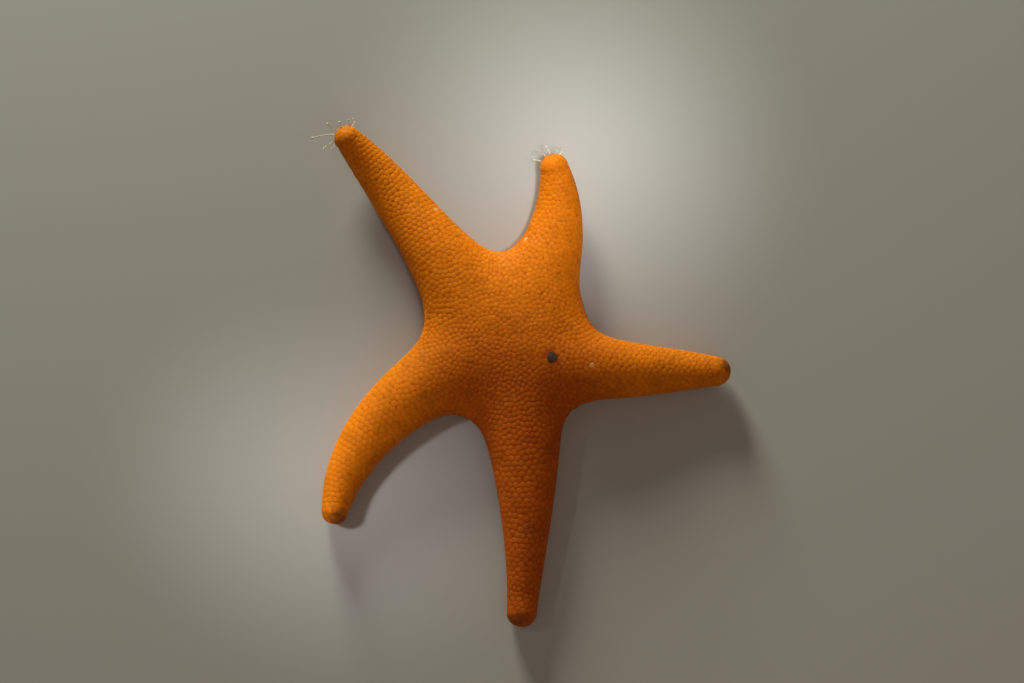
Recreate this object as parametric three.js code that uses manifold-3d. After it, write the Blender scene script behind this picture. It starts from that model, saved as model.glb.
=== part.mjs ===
import * as THREE from "three";
import { mergeVertices } from "three/addons/utils/BufferGeometryUtils.js";
import Module from "manifold-3d";

// An orange blood star, a starfish with five arms, at life size and still, as it rests on a flat floor.
// Millimetres, +Z up. The mouth side is down on Z = 0, and the origin is under the middle of its box.
// Arm 1 points back and left, and the others follow clockwise as seen from above.

// Each arm: heading of its axis at the disc in degrees from +X, how far that turns on the way to the
// tip (bend, plus curl that gathers at the tip), axis length along the floor, control values of its
// half width from the disc to the tip, and how the end lifts: from what share of its length, and the
// slope in degrees that it reaches.
const ARMS = [
  { heading: 131, bend: -23, curl: 26.5, length: 65.9, widths: [17.7, 5.6, 8.0, 3.3], lift: [0.6, 25] },
  { heading: 61, bend: -1, curl: 46, length: 47.3, widths: [14.5, 8.8, 7.5, 3.6], lift: [0.5, 24] },
  { heading: -29.6, bend: 78, curl: -51.8, length: 53.2, widths: [11.9, 8.0, 6.9, 3.7], lift: [0.7, 12] },
  { heading: -76, bend: -29.7, curl: 11.3, length: 67.2, widths: [10.3, 11.3, 4.7, 3.7], lift: [0.88, 8] },
  { heading: 202.3, bend: 15, curl: 45, length: 63.0, widths: [10.2, 9.0, 7.0, 3.3], lift: [0.8, 10] },
];
const WEB = 3; // how softly one arm runs into the next
const CREST = [5.8, 8.2, 5.6, 3.7]; // control values of an arm's height above its widest level
const EQUATOR_DISC = 4.8; // level of the widest outline round the disc
const EQUATOR_TIP = 2.7; // the same at an arm's end, above its sole
const DISC_REACH = 24; // from here outwards the widest level comes down
const SOLE_ROUND = 0.4; // share of an arm's half width that rounds under to the flat sole
const SOLE_ROUND_MOST = 3.6;
const GROOVE_MOUTH = 1.25; // groove half width where it opens into the mouth
const GROOVE_WIDEST = 2.05; // and where the arm leaves the disc
const GROOVE_TIP = 1.1; // and near the arm's end
const GROOVE_DEPTH = 2.8;
const GROOVE_DEPTH_TIP = 1.8;
const GROOVE_ENDS = 0.95; // share of the arm's length where the groove has closed
const MOUTH = 3.1; // radius of the mouth's rim
const MOUTH_TAPER = 0.86; // the mouth's recess narrows by this towards its roof
const CUT = 0.3; // gap between neighbouring pieces
const ARM_SPLIT = 0.42; // share of the free arm's length where its base and tip pieces part

// The bed of tube feet in each groove: its four corners as shares of the groove's half width and
// depth, and two rows of feet, each foot wider at its sucker.
const BED_CORNERS = [
  { side: -0.66, up: 0.42 },
  { side: -0.36, up: 0.8 },
  { side: 0.36, up: 0.8 },
  { side: 0.66, up: 0.42 },
];
const BED_ENDS = 0.86;
const FEET = { pairs: 9, apart: 0.34, sucker: 0.3, neck: 0.21, top: 0.5, clearance: 0.3, sides: 4 };

const LIPS = [
  [0, 2.45],
  [2.1, 2.45],
  [2.3, 1.9],
  [1.6, 1.0],
  [0.8, 1.15],
  [0.45, 1.8],
  [0, 1.95],
]; // radius and level of the mouth's soft lips, from the roof round to the opening
const LIPS_SIDES = 15;
const SIEVE = { x: 10.8, y: -4.7, radius: 1.3, proud: 0.25, bevel: 0.15, sunk: 0.5, sides: 14 };

// Feelers, long tube feet that feel ahead at the ends of the two raised arms: the bearing in degrees
// where each leaves the round end, the bearing that it points along, its climb and its length.
const FEELERS = {
  1: [
    { root: 54, bearing: 78, climb: 4, length: 3.6 },
    { root: 70, bearing: 98, climb: -10, length: 1.6 },
    { root: 23, bearing: 54, climb: 0, length: 6.0 },
    { root: -4, bearing: 18, climb: 14, length: 3.6 },
    { root: -18, bearing: -14, climb: 24, length: 1.9 },
    { root: -31, bearing: -62, climb: 6, length: 1.7 },
    { root: -52, bearing: -64, climb: 18, length: 2.2 },
    { root: -66, bearing: -76, climb: -6, length: 1.5 },
  ],
  2: [
    { root: 46, bearing: 62, climb: -6, length: 2.0 },
    { root: 20, bearing: 32, climb: 8, length: 2.3 },
    { root: 2, bearing: 8, climb: -8, length: 2.2 },
    { root: -20, bearing: -36, climb: 8, length: 2.1 },
    { root: -40, bearing: -46, climb: -4, length: 1.8 },
  ],
};
const FEELER = { radius: 0.27, knob: 0.4, sides: 5, sunk: 1.0, level: -0.35 };

const SKIN = 0xd8780f;
const FEET_COLOUR = 0xe9c79a;
const LIPS_COLOUR = 0xdd9a63;
const SIEVE_COLOUR = 0x4b3b30;

const WEB_ENDS = 0.62; // share of an arm's length from where it has no web with its neighbours
const RIB_TURN = 0.26; // over this share past its root an arm's ribs turn square to its axis
const NEAR_NOTCH = 0.3; // share of the arms' length at which their headings bracket a notch
const FURTHEST = 40; // no skin lies further than this from a point inside the body
const HALVINGS = 32;
const NOTCH_STEPS = 60;
const PATH_STEPS = 60;
const TOP_COLUMNS = 10;
const BASE_RINGS = { rings: 5, crowding: 1.5, hasTip: false };
const TIP_RINGS = { rings: 7, crowding: 1, hasTip: true };
const CAP_RINGS = 3;
const BED_RINGS = 10;
const DISC_RINGS = [0.27, 0.54, 0.78, 0.93, 1];
const SOLE_RINGS = [0, 0.45, 0.8, 0.95, 1];

const wasm = await Module();
wasm.setup();

const radians = THREE.MathUtils.degToRad;
const mix = THREE.MathUtils.lerp;
const clamp01 = (v) => THREE.MathUtils.clamp(v, 0, 1);
const smooth = (v) => THREE.MathUtils.smoothstep(v, 0, 1);

function bezier([a, b, c, d], t) {
  const s = 1 - t;
  return s * s * s * a + 3 * s * s * t * b + 3 * s * t * t * c + t * t * t * d;
}

// ---- The arms' axes ----

const headingOf = (arm, t) => radians(arm.heading + arm.bend * t + arm.curl * t * t);

function slopeOf({ lift: [from, steepest] }, t) {
  return radians(steepest) * clamp01((t - from) / (1 - from));
}

// Points along an arm's axis at floor level: where it is in plan, and how far it has lifted.
function trace(arm) {
  const points = [new THREE.Vector3()];
  const step = arm.length / PATH_STEPS;
  for (let i = 0; i < PATH_STEPS; i++) {
    const t = (i + 0.5) / PATH_STEPS;
    const heading = headingOf(arm, t);
    const move = new THREE.Vector3(Math.cos(heading), Math.sin(heading), Math.tan(slopeOf(arm, t)));
    points.push(points[i].clone().addScaledVector(move, step));
  }
  return points;
}
ARMS.forEach((arm) => {
  arm.path = trace(arm);
});

// The arm's size and directions at a share t of its length.
function station(arm, t) {
  const at = clamp01(t) * PATH_STEPS;
  const i = Math.min(Math.floor(at), PATH_STEPS - 1);
  const floor = arm.path[i].clone().lerp(arm.path[i + 1], at - i);
  const heading = headingOf(arm, t);
  const slope = slopeOf(arm, t);
  const outwards = clamp01((t * arm.length - DISC_REACH) / (arm.length - DISC_REACH));
  const equator = mix(EQUATOR_DISC, EQUATOR_TIP, outwards);
  const left = new THREE.Vector3(-Math.sin(heading), Math.cos(heading), 0);
  const ahead = new THREE.Vector3(
    Math.cos(heading) * Math.cos(slope),
    Math.sin(heading) * Math.cos(slope),
    Math.sin(slope),
  );
  const up = ahead.clone().cross(left);
  return {
    floor,
    centre: floor.clone().addScaledVector(up, equator),
    left,
    ahead,
    up,
    slope,
    equator,
    half: bezier(arm.widths, t),
    crest: bezier(CREST, t),
  };
}

// ---- The body's surface near the disc: the arms run together into one skin ----

// Signed distance, roughly, from a point to one arm taken alone: negative inside.
function toArm(arm, x, y, z) {
  let best = Infinity;
  let share = 0;
  for (let i = 0; i < PATH_STEPS; i++) {
    const a = arm.path[i];
    const b = arm.path[i + 1];
    const dx = b.x - a.x;
    const dy = b.y - a.y;
    const k = clamp01(((x - a.x) * dx + (y - a.y) * dy) / (dx * dx + dy * dy));
    const t = (i + k) / PATH_STEPS;
    const away = Math.hypot(x - a.x - k * dx, y - a.y - k * dy) - bezier(arm.widths, t);
    if (away < best) {
      best = away;
      share = t;
    }
  }
  const s = station(arm, share);
  const side = (best + s.half) / s.half;
  const rise = ((z - s.floor.z) * Math.cos(s.slope) - s.equator) / s.crest;
  return s.half * (Math.hypot(side, rise) - 1);
}

function toSkin(x, y, z) {
  const each = ARMS.map((arm) => toArm(arm, x, y, z));
  const least = Math.min(...each);
  const sum = each.reduce((total, d) => total + Math.exp((least - d) / WEB), 0);
  return least - WEB * Math.log(sum);
}

// The last value between 0 and `far` at which `isInside` still holds, by halving.
function lastInside(far, isInside) {
  let near = 0;
  for (let i = 0; i < HALVINGS; i++) {
    const middle = (near + far) / 2;
    if (isInside(middle)) near = middle;
    else far = middle;
  }
  return near;
}

// How far the skin lies from a point inside it, in a given direction.
function reach(from, direction) {
  return lastInside(FURTHEST, (distance) => {
    const p = from.clone().addScaledVector(direction, distance);
    return toSkin(p.x, p.y, p.z) < 0;
  });
}

// Level of the skin above a point of the floor.
function crestOver(x, y) {
  return EQUATOR_DISC + reach(new THREE.Vector3(x, y, EQUATOR_DISC), new THREE.Vector3(0, 0, 1));
}

// Level of the disc's sole: flat inside, rounding up to the widest outline.
function soleOver(x, y) {
  const inside = clamp01(-toSkin(x, y, EQUATOR_DISC) / SOLE_ROUND_MOST);
  return EQUATOR_DISC * (1 - Math.sqrt(1 - (1 - inside) ** 2));
}

// ---- Notches between neighbouring arms, and the lines between them where the arms leave the disc ----

function notchBetween(arm, next) {
  const from = headingOf(next, NEAR_NOTCH);
  let span = headingOf(arm, NEAR_NOTCH) - from;
  while (span < 0) span += 2 * Math.PI;
  let best = null;
  for (let i = 1; i < NOTCH_STEPS; i++) {
    const angle = from + (span * i) / NOTCH_STEPS;
    const direction = new THREE.Vector3(Math.cos(angle), Math.sin(angle), 0);
    const distance = reach(new THREE.Vector3(0, 0, EQUATOR_DISC), direction);
    if (!best || distance < best.distance) best = { distance, point: direction.multiplyScalar(distance) };
  }
  return best.point.setZ(0);
}
ARMS.forEach((arm, i) => {
  const next = ARMS[(i + 1) % ARMS.length];
  arm.rightNotch = notchBetween(arm, next);
  next.leftNotch = arm.rightNotch;
});

// Where an arm's axis crosses the line between its two notches.
ARMS.forEach((arm) => {
  const across = arm.leftNotch.clone().sub(arm.rightNotch).normalize();
  const outwards = new THREE.Vector3(across.y, -across.x, 0);
  arm.across = across;
  arm.root = lastInside(WEB_ENDS, (t) => station(arm, t).floor.sub(arm.rightNotch).dot(outwards) < 0);
});

// The rib across an arm at share t: along the notch line at the root, square to the axis further out.
function ribDirection(arm, t) {
  const square = station(arm, t).left;
  return arm.across.clone().lerp(square, smooth((t - arm.root) / RIB_TURN)).normalize();
}

// Distance from the axis to the skin in the rib's plane, at angle phi above the right-hand side.
function ribReach(arm, s, t, rib, phi) {
  const free = 1 / Math.hypot(Math.cos(phi) / s.half, Math.sin(phi) / s.crest);
  if (t > WEB_ENDS) return free;
  const direction = rib.clone().multiplyScalar(-Math.cos(phi)).addScaledVector(s.up, Math.sin(phi));
  return mix(reach(s.centre, direction), free, smooth((t - arm.root) / (WEB_ENDS - arm.root)));
}

// ---- Cross-section ----

// Columns of the sole from the right-hand side to the axis: shares of the way from the outline to the
// groove's edge, then of the groove's half width.
const SOLE_SHARES = [0, 0.1, 0.24, 0.42, 1];
const GROOVE_SHARES = [
  { out: 0.86, up: 0.55 },
  { out: 0.5, up: 0.95 },
];

const soleRound = (half) => Math.min(SOLE_ROUND * half, SOLE_ROUND_MOST);

// One ring of points round an arm, shrunk to `scale` about its centre and moved `on` ahead.
function ring(arm, t, scale = 1, on = 0) {
  const s = station(arm, t);
  const rib = ribDirection(arm, t);
  const centre = s.centre.clone().addScaledVector(s.ahead, on);
  const place = (side, rise) =>
    centre.clone().addScaledVector(rib, side * scale).addScaledVector(s.up, rise * scale);
  const points = [];
  for (let i = 0; i <= TOP_COLUMNS; i++) {
    const phi = (Math.PI * i) / TOP_COLUMNS;
    const r = ribReach(arm, s, t, rib, phi);
    points.push(place(-r * Math.cos(phi), r * Math.sin(phi)));
  }
  const rightHalf = ribReach(arm, s, t, rib, 0);
  const leftHalf = ribReach(arm, s, t, rib, Math.PI);
  const groove = grooveHalf(arm, t);
  const depth = grooveDepth(arm, t);
  const half = (outline, sign) => {
    const edge = SOLE_SHARES.slice(1).map((share) => {
      const side = mix(outline, groove, share);
      const inside = clamp01((outline - side) / soleRound(s.half));
      return place(sign * side, -s.equator * Math.sqrt(1 - (1 - inside) ** 2));
    });
    const inner = GROOVE_SHARES.map(({ out, up }) => place(sign * groove * out, -s.equator + depth * up));
    return [...edge, ...inner];
  };
  points.push(...half(leftHalf, 1));
  points.push(place(0, -s.equator + depth));
  points.push(...half(rightHalf, -1).reverse());
  return { points, centre };
}

// The groove under an arm: it opens from the mouth, narrows outwards and closes short of the end.
function grooveHalf(arm, t) {
  const opening = mix(GROOVE_MOUTH, GROOVE_WIDEST, smooth(t / arm.root));
  return mix(opening, GROOVE_TIP, smooth((t - arm.root) / (1 - arm.root)));
}

function grooveDepth(arm, t) {
  const open = mix(GROOVE_DEPTH, GROOVE_DEPTH_TIP, smooth((t - arm.root) / (1 - arm.root)));
  return open * (1 - smooth((t - BED_ENDS) / (GROOVE_ENDS - BED_ENDS)));
}

// ---- Meshes ----

// A growing list of triangles that share numbered points.
class Shell {
  constructor() {
    this.points = [];
    this.faces = [];
  }
  add(point) {
    return this.points.push(point) - 1;
  }
  addAll(points) {
    return points.map((p) => this.add(p));
  }
  triangle(a, b, c) {
    this.faces.push(a, b, c);
  }
  // The band between two rows of point numbers of the same length.
  band(lower, upper, closed) {
    const last = lower.length - (closed ? 0 : 1);
    for (let i = 0; i < last; i++) {
      const j = (i + 1) % lower.length;
      this.triangle(lower[i], upper[i], upper[j]);
      this.triangle(lower[i], upper[j], lower[j]);
    }
  }
  fan(row, tip, closed) {
    const last = row.length - (closed ? 0 : 1);
    for (let i = 0; i < last; i++) this.triangle(row[i], row[(i + 1) % row.length], tip);
  }
  geometry() {
    const flat = this.points.flatMap((p) => [p.x, p.y, p.z]);
    const made = new THREE.BufferGeometry();
    made.setAttribute("position", new THREE.Float32BufferAttribute(flat, 3));
    made.setIndex(this.faces);
    return mergeVertices(made, 1e-4);
  }
}

function toManifold(geometry) {
  const bare = geometry.clone();
  bare.deleteAttribute("normal");
  bare.deleteAttribute("uv");
  const merged = mergeVertices(bare, 1e-4);
  return new wasm.Manifold(
    new wasm.Mesh({
      numProp: 3,
      vertProperties: merged.attributes.position.array,
      triVerts: new Uint32Array(merged.index.array),
    }),
  );
}

function fromManifold(solid) {
  const mesh = solid.getMesh();
  const made = new THREE.BufferGeometry();
  made.setAttribute("position", new THREE.BufferAttribute(mesh.vertProperties, 3));
  made.setIndex(new THREE.BufferAttribute(mesh.triVerts, 1));
  return made;
}

// A length of arm between two shares of it, with a round end if it holds the tip. Crowding over 1
// gathers its rings at the inner end.
function armLength(arm, from, to, { rings, crowding, hasTip }) {
  const shell = new Shell();
  const rows = [];
  for (let i = 0; i <= rings; i++) rows.push(ring(arm, mix(from, to, (i / rings) ** crowding)));
  if (hasTip) {
    const end = station(arm, 1);
    for (let i = 1; i <= CAP_RINGS; i++) {
      const angle = (Math.PI / 2) * (i / (CAP_RINGS + 1));
      rows.push(ring(arm, 1, Math.cos(angle), end.half * Math.sin(angle)));
    }
  }
  const numbered = rows.map((row) => shell.addAll(row.points));
  for (let i = 1; i < numbered.length; i++) shell.band(numbered[i - 1], numbered[i], true);
  shell.fan(numbered[0], shell.add(rows[0].centre), true);
  const last = rows[rows.length - 1];
  const end = station(arm, 1);
  const pole = hasTip ? end.centre.clone().addScaledVector(end.ahead, end.half) : last.centre;
  shell.fan([...numbered[numbered.length - 1]].reverse(), shell.add(pole), true);
  return shell.geometry();
}

// The disc: a pentagon from notch to notch, its back and sole each made of rings round the middle.
function discGeometry() {
  const shell = new Shell();
  const top = shell.add(new THREE.Vector3(0, 0, crestOver(0, 0)));
  const roof = shell.add(new THREE.Vector3(0, 0, GROOVE_DEPTH));
  ARMS.forEach((arm) => {
    const root = ring(arm, arm.root);
    root.points[0].copy(arm.rightNotch).setZ(EQUATOR_DISC);
    root.points[TOP_COLUMNS].copy(arm.leftNotch).setZ(EQUATOR_DISC);
    const around = shell.addAll(root.points);
    const backEdge = around.slice(0, TOP_COLUMNS + 1);
    const soleEdge = [...around.slice(TOP_COLUMNS), around[0]];

    const axis = station(arm, arm.root).centre;
    const columns = root.points.slice(0, TOP_COLUMNS + 1).map((p) => p.clone().sub(axis).dot(arm.across));
    const backRow = (f) => shell.addAll(columns.map((side) => backPoint(arm, f, side)));
    const back = DISC_RINGS.slice(0, -1).map(backRow);
    back.push(backEdge);
    const sole = SOLE_RINGS.slice(0, -1).map((f) => shell.addAll(soleRow(arm, f)));
    sole.push(soleEdge);
    const pit = shell.addAll(
      soleRow(arm, 0).map((p) => p.clone().multiplyScalar(MOUTH_TAPER).setZ(GROOVE_DEPTH)),
    );

    shell.fan(back[0], top, false);
    for (let k = 1; k < back.length; k++) shell.band(back[k - 1], back[k], false);
    shell.fan(pit, roof, false);
    shell.band(pit, sole[0], false);
    for (let k = 1; k < sole.length; k++) shell.band(sole[k - 1], sole[k], false);
    shell.fan([...around].reverse(), shell.add(root.centre), true);
  });
  return shell.geometry();
}

// A point of the disc's back, at share f of the way out and `side` millimetres across the arm's root.
function backPoint(arm, f, side) {
  const notch = side < 0 ? arm.rightNotch : arm.leftNotch;
  const root = station(arm, arm.root).floor;
  const share = clamp01(Math.abs(side) / Math.hypot(notch.x - root.x, notch.y - root.y));
  const p = station(arm, arm.root * f).floor.lerp(notch.clone().multiplyScalar(f), share);
  return new THREE.Vector3(p.x, p.y, crestOver(p.x, p.y));
}

// A row of the disc's sole, from its left-hand notch line over the groove to the right-hand one.
function soleRow(arm, f) {
  const t = mix(MOUTH / arm.length, arm.root, f);
  const { floor, left } = station(arm, t);
  const rib = left.lerp(arm.across, f).normalize();
  const half = grooveHalf(arm, t);
  const side = (sign) => {
    const notch = sign > 0 ? arm.leftNotch : arm.rightNotch;
    const outer = notch.clone().setZ(0).setLength(mix(MOUTH, Math.hypot(notch.x, notch.y), f));
    const edge = floor.clone().addScaledVector(rib, sign * half);
    const flat = SOLE_SHARES.map((share) => {
      const p = outer.clone().lerp(edge, share);
      return p.setZ(soleOver(p.x, p.y));
    });
    const wall = GROOVE_SHARES.map(({ out, up }) =>
      floor.clone().addScaledVector(rib, sign * half * out).setZ(GROOVE_DEPTH * up),
    );
    return [...flat, ...wall];
  };
  return [...side(1), floor.clone().setZ(GROOVE_DEPTH), ...side(-1).reverse()];
}

// ---- Tube feet, mouth, sieve plate and feelers ----

// Moves a geometry that stands on the origin along +Y to `foot`, pointing along `direction`.
function stand(geometry, foot, direction) {
  const turn = new THREE.Quaternion().setFromUnitVectors(new THREE.Vector3(0, 1, 0), direction);
  return geometry.applyQuaternion(turn).translate(foot.x, foot.y, foot.z);
}

const lathe = (profile, sides) => {
  const outline = profile.map(([radius, level]) => new THREE.Vector2(radius, level));
  return new THREE.LatheGeometry(outline, sides);
};

// The bed along a groove's roof, from the mouth to short of the arm's end, with its two rows of feet.
function footBed(arm) {
  const shell = new Shell();
  const from = (MOUTH + CUT) / arm.length;
  const at = (t, side, level) => {
    const s = station(arm, t);
    return s.floor.clone().addScaledVector(s.left, side).addScaledVector(s.up, level);
  };
  const section = (t) => {
    const half = grooveHalf(arm, t);
    const depth = grooveDepth(arm, t);
    return BED_CORNERS.map(({ side, up }) => at(t, side * half, up * depth));
  };
  const rows = [];
  for (let i = 0; i <= BED_RINGS; i++) rows.push(shell.addAll(section(mix(from, BED_ENDS, i / BED_RINGS))));
  for (let i = 1; i < rows.length; i++) shell.band(rows[i - 1], rows[i], true);
  const [a, b, c, d] = rows[0];
  shell.triangle(a, b, c);
  shell.triangle(a, c, d);
  const [e, f, g, h] = rows[BED_RINGS];
  shell.triangle(e, g, f);
  shell.triangle(e, h, g);
  let solid = toManifold(shell.geometry());
  for (let i = 0; i < FEET.pairs; i++) {
    const t = mix(from, BED_ENDS, (i + 0.5) / FEET.pairs);
    const half = grooveHalf(arm, t);
    const top = FEET.top * grooveDepth(arm, t);
    const foot = [
      [0, 0],
      [FEET.sucker * half, 0],
      [FEET.neck * half, top - FEET.clearance],
      [0, top - FEET.clearance],
    ];
    for (const side of [-1, 1]) {
      const sole = at(t, side * FEET.apart * half, FEET.clearance);
      solid = solid.add(toManifold(stand(lathe(foot, FEET.sides), sole, station(arm, t).up)));
    }
  }
  return fromManifold(solid);
}

// An arm's tip piece with its feelers joined to it.
function tipWithFeelers(geometry, arm, feelers) {
  const end = station(arm, 1);
  const { radius, knob, sides, sunk, level } = FEELER;
  const towards = (bearing, climb) => {
    const b = radians(bearing);
    const c = radians(climb);
    return end.ahead
      .clone()
      .multiplyScalar(Math.cos(b) * Math.cos(c))
      .addScaledVector(end.left, Math.sin(b) * Math.cos(c))
      .addScaledVector(end.up, Math.sin(c));
  };
  let solid = toManifold(geometry);
  feelers.forEach(({ root, bearing, climb, length }) => {
    const foot = end.centre.clone().addScaledVector(towards(root, 0), end.half - sunk);
    foot.addScaledVector(end.up, level * end.equator);
    const whole = length + sunk;
    const profile = [
      [0, 0],
      [radius, 0],
      [radius, whole - 2 * knob],
      [knob, whole - 0.8 * knob],
      [0, whole],
    ];
    solid = solid.add(toManifold(stand(lathe(profile, sides), foot, towards(bearing, climb))));
  });
  return fromManifold(solid);
}

// The sieve plate lies in a shallow socket of the disc's back.
const sieveLevel = crestOver(SIEVE.x, SIEVE.y);
const sieveUp = (() => {
  const step = 1;
  const rise = (dx, dy) => crestOver(SIEVE.x + dx, SIEVE.y + dy) - sieveLevel;
  return new THREE.Vector3(-rise(step, 0), -rise(0, step), step).normalize();
})();

function plug(radius, bottom, top, bevel) {
  const profile = [
    [0, bottom],
    [radius, bottom],
    [radius, top - bevel],
    [radius - 2 * bevel, top],
    [0, top],
  ];
  return stand(lathe(profile, SIEVE.sides), new THREE.Vector3(SIEVE.x, SIEVE.y, sieveLevel), sieveUp);
}

// ---- Assembly ----

const group = new THREE.Group();
function addPiece(name, geometry, color, roughness) {
  const material = new THREE.MeshStandardMaterial({ color, roughness, metalness: 0 });
  const mesh = new THREE.Mesh(geometry, material);
  mesh.name = name;
  group.add(mesh);
}

const socket = toManifold(plug(SIEVE.radius + CUT, -SIEVE.sunk - CUT, SIEVE.radius, 0));
addPiece("disc", fromManifold(toManifold(discGeometry()).subtract(socket)), SKIN, 0.7);
const sievePlate = plug(SIEVE.radius, -SIEVE.sunk, SIEVE.proud, SIEVE.bevel);
addPiece("sieve_plate", sievePlate, SIEVE_COLOUR, 0.8);
addPiece("mouth", lathe([...LIPS].reverse(), LIPS_SIDES).rotateX(Math.PI / 2), LIPS_COLOUR, 0.5);

ARMS.forEach((arm, i) => {
  const number = i + 1;
  const gap = CUT / arm.length;
  const split = mix(arm.root, 1, ARM_SPLIT);
  const feelers = FEELERS[number] || [];
  const base = armLength(arm, arm.root + gap, split - gap / 2, BASE_RINGS);
  const tip = armLength(arm, split + gap / 2, 1, TIP_RINGS);
  addPiece(`arm_${number}_base`, base, SKIN, 0.7);
  addPiece(`arm_${number}_tip`, feelers.length ? tipWithFeelers(tip, arm, feelers) : tip, SKIN, 0.7);
  addPiece(`tube_feet_${number}`, footBed(arm), FEET_COLOUR, 0.4);
});

const box = new THREE.Box3().setFromObject(group);
const middle = box.getCenter(new THREE.Vector3());
group.position.set(-middle.x, -middle.y, -box.min.z);

export default group;
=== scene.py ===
"""An orange blood star at life size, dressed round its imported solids: skin, granules, groove and tube feet.

Sizes are in millimetres round the disc's centre, at floor level, with the same named values as the solids.
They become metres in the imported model's frame as each mesh is written.
"""

import math

import bpy
import numpy as np
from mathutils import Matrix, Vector, kdtree


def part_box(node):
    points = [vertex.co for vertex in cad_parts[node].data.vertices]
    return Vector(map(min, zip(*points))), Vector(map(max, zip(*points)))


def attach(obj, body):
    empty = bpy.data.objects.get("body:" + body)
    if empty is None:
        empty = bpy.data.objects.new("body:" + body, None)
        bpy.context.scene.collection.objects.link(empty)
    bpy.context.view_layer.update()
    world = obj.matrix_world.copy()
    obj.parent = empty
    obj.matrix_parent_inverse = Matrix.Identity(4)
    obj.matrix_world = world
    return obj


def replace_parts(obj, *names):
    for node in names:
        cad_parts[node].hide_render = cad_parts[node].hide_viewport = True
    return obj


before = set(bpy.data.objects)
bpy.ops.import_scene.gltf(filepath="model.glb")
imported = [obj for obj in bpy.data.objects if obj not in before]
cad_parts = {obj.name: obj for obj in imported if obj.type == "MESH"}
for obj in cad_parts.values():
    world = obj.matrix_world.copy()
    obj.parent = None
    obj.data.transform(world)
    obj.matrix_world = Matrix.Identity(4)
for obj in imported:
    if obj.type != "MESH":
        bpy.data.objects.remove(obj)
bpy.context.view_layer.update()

# ---- Sizes shared with the solids ----

ARMS = [
    dict(heading=131, bend=-23, curl=26.5, length=65.9, widths=(17.7, 5.6, 8.0, 3.3), lift=(0.6, 25)),
    dict(heading=61, bend=-1, curl=46, length=47.3, widths=(14.5, 8.8, 7.5, 3.6), lift=(0.5, 24)),
    dict(heading=-29.6, bend=78, curl=-51.8, length=53.2, widths=(11.9, 8.0, 6.9, 3.7), lift=(0.7, 12)),
    dict(heading=-76, bend=-29.7, curl=11.3, length=67.2, widths=(10.3, 11.3, 4.7, 3.7), lift=(0.88, 8)),
    dict(heading=202.3, bend=15, curl=45, length=63.0, widths=(10.2, 9.0, 7.0, 3.3), lift=(0.8, 10)),
]
WEB = 3  # how softly one arm runs into the next
CREST = (5.8, 8.2, 5.6, 3.7)
EQUATOR_DISC = 4.8
EQUATOR_TIP = 2.7
DISC_REACH = 24
SOLE_ROUND = 0.4
SOLE_ROUND_MOST = 3.6
GROOVE_MOUTH = 1.25
GROOVE_WIDEST = 2.05
GROOVE_TIP = 1.1
GROOVE_DEPTH = 2.8
GROOVE_DEPTH_TIP = 1.8
GROOVE_ENDS = 0.95
BED_ENDS = 0.86
MOUTH = 3.1
MOUTH_TAPER = 0.86
WEB_ENDS = 0.62
RIB_TURN = 0.26
NEAR_NOTCH = 0.3
FURTHEST = 40
HALVINGS = 24
NOTCH_STEPS = 60
PATH_STEPS = 60
SIEVE = dict(x=10.8, y=-4.7, radius=1.3)
FEELERS = {
    1: [(54, 78, 4, 3.6), (70, 98, -10, 1.6), (23, 54, 0, 6.0), (-4, 18, 14, 3.6),
        (-18, -14, 24, 1.9), (-31, -62, 6, 1.7), (-52, -64, 18, 2.2), (-66, -76, -6, 1.5)],
    2: [(46, 62, -6, 2.0), (20, 32, 8, 2.3), (2, 8, -8, 2.2), (-20, -36, 8, 2.1), (-40, -46, -4, 1.8)],
}  # where each leaves the round end, where it points, its climb, all in degrees, and its length

MM = 0.001
mouth_low, mouth_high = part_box("mouth")
CENTRE = np.array([(mouth_low.x + mouth_high.x) / 2, (mouth_low.y + mouth_high.y) / 2, 0])


# ---- The body's form: the same formulas as the solids ----

def clamp01(v):
    return np.clip(v, 0, 1)


def smooth(v):
    v = clamp01(v)
    return v * v * (3 - 2 * v)


def mix(a, b, share):
    return a + (b - a) * share


def bezier(values, t):
    a, b, c, d = values
    s = 1 - t
    return s * s * s * a + 3 * s * s * t * b + 3 * s * t * t * c + t * t * t * d


def unit(v):
    return v / np.linalg.norm(v, axis=-1, keepdims=True)


def run_along(line):
    """Length of a line up to each of its points."""
    return np.concatenate([[0], np.cumsum(np.linalg.norm(np.diff(line, axis=0), axis=1))])


def away_from(points, x=0.0, y=0.0):
    """Distances over the floor, from the disc's middle unless told otherwise."""
    return np.hypot(points[..., 0] - x, points[..., 1] - y)


def join(parts):
    """Joins (points, quads, triangles) parts into one."""
    points, quads, fans, count = [], [], [], 0
    for part_points, part_quads, part_fans in parts:
        points.append(part_points)
        quads.append(part_quads + count)
        fans.append(part_fans + count)
        count += len(part_points)
    return np.concatenate(points), [np.concatenate(quads), np.concatenate(fans)]


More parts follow.
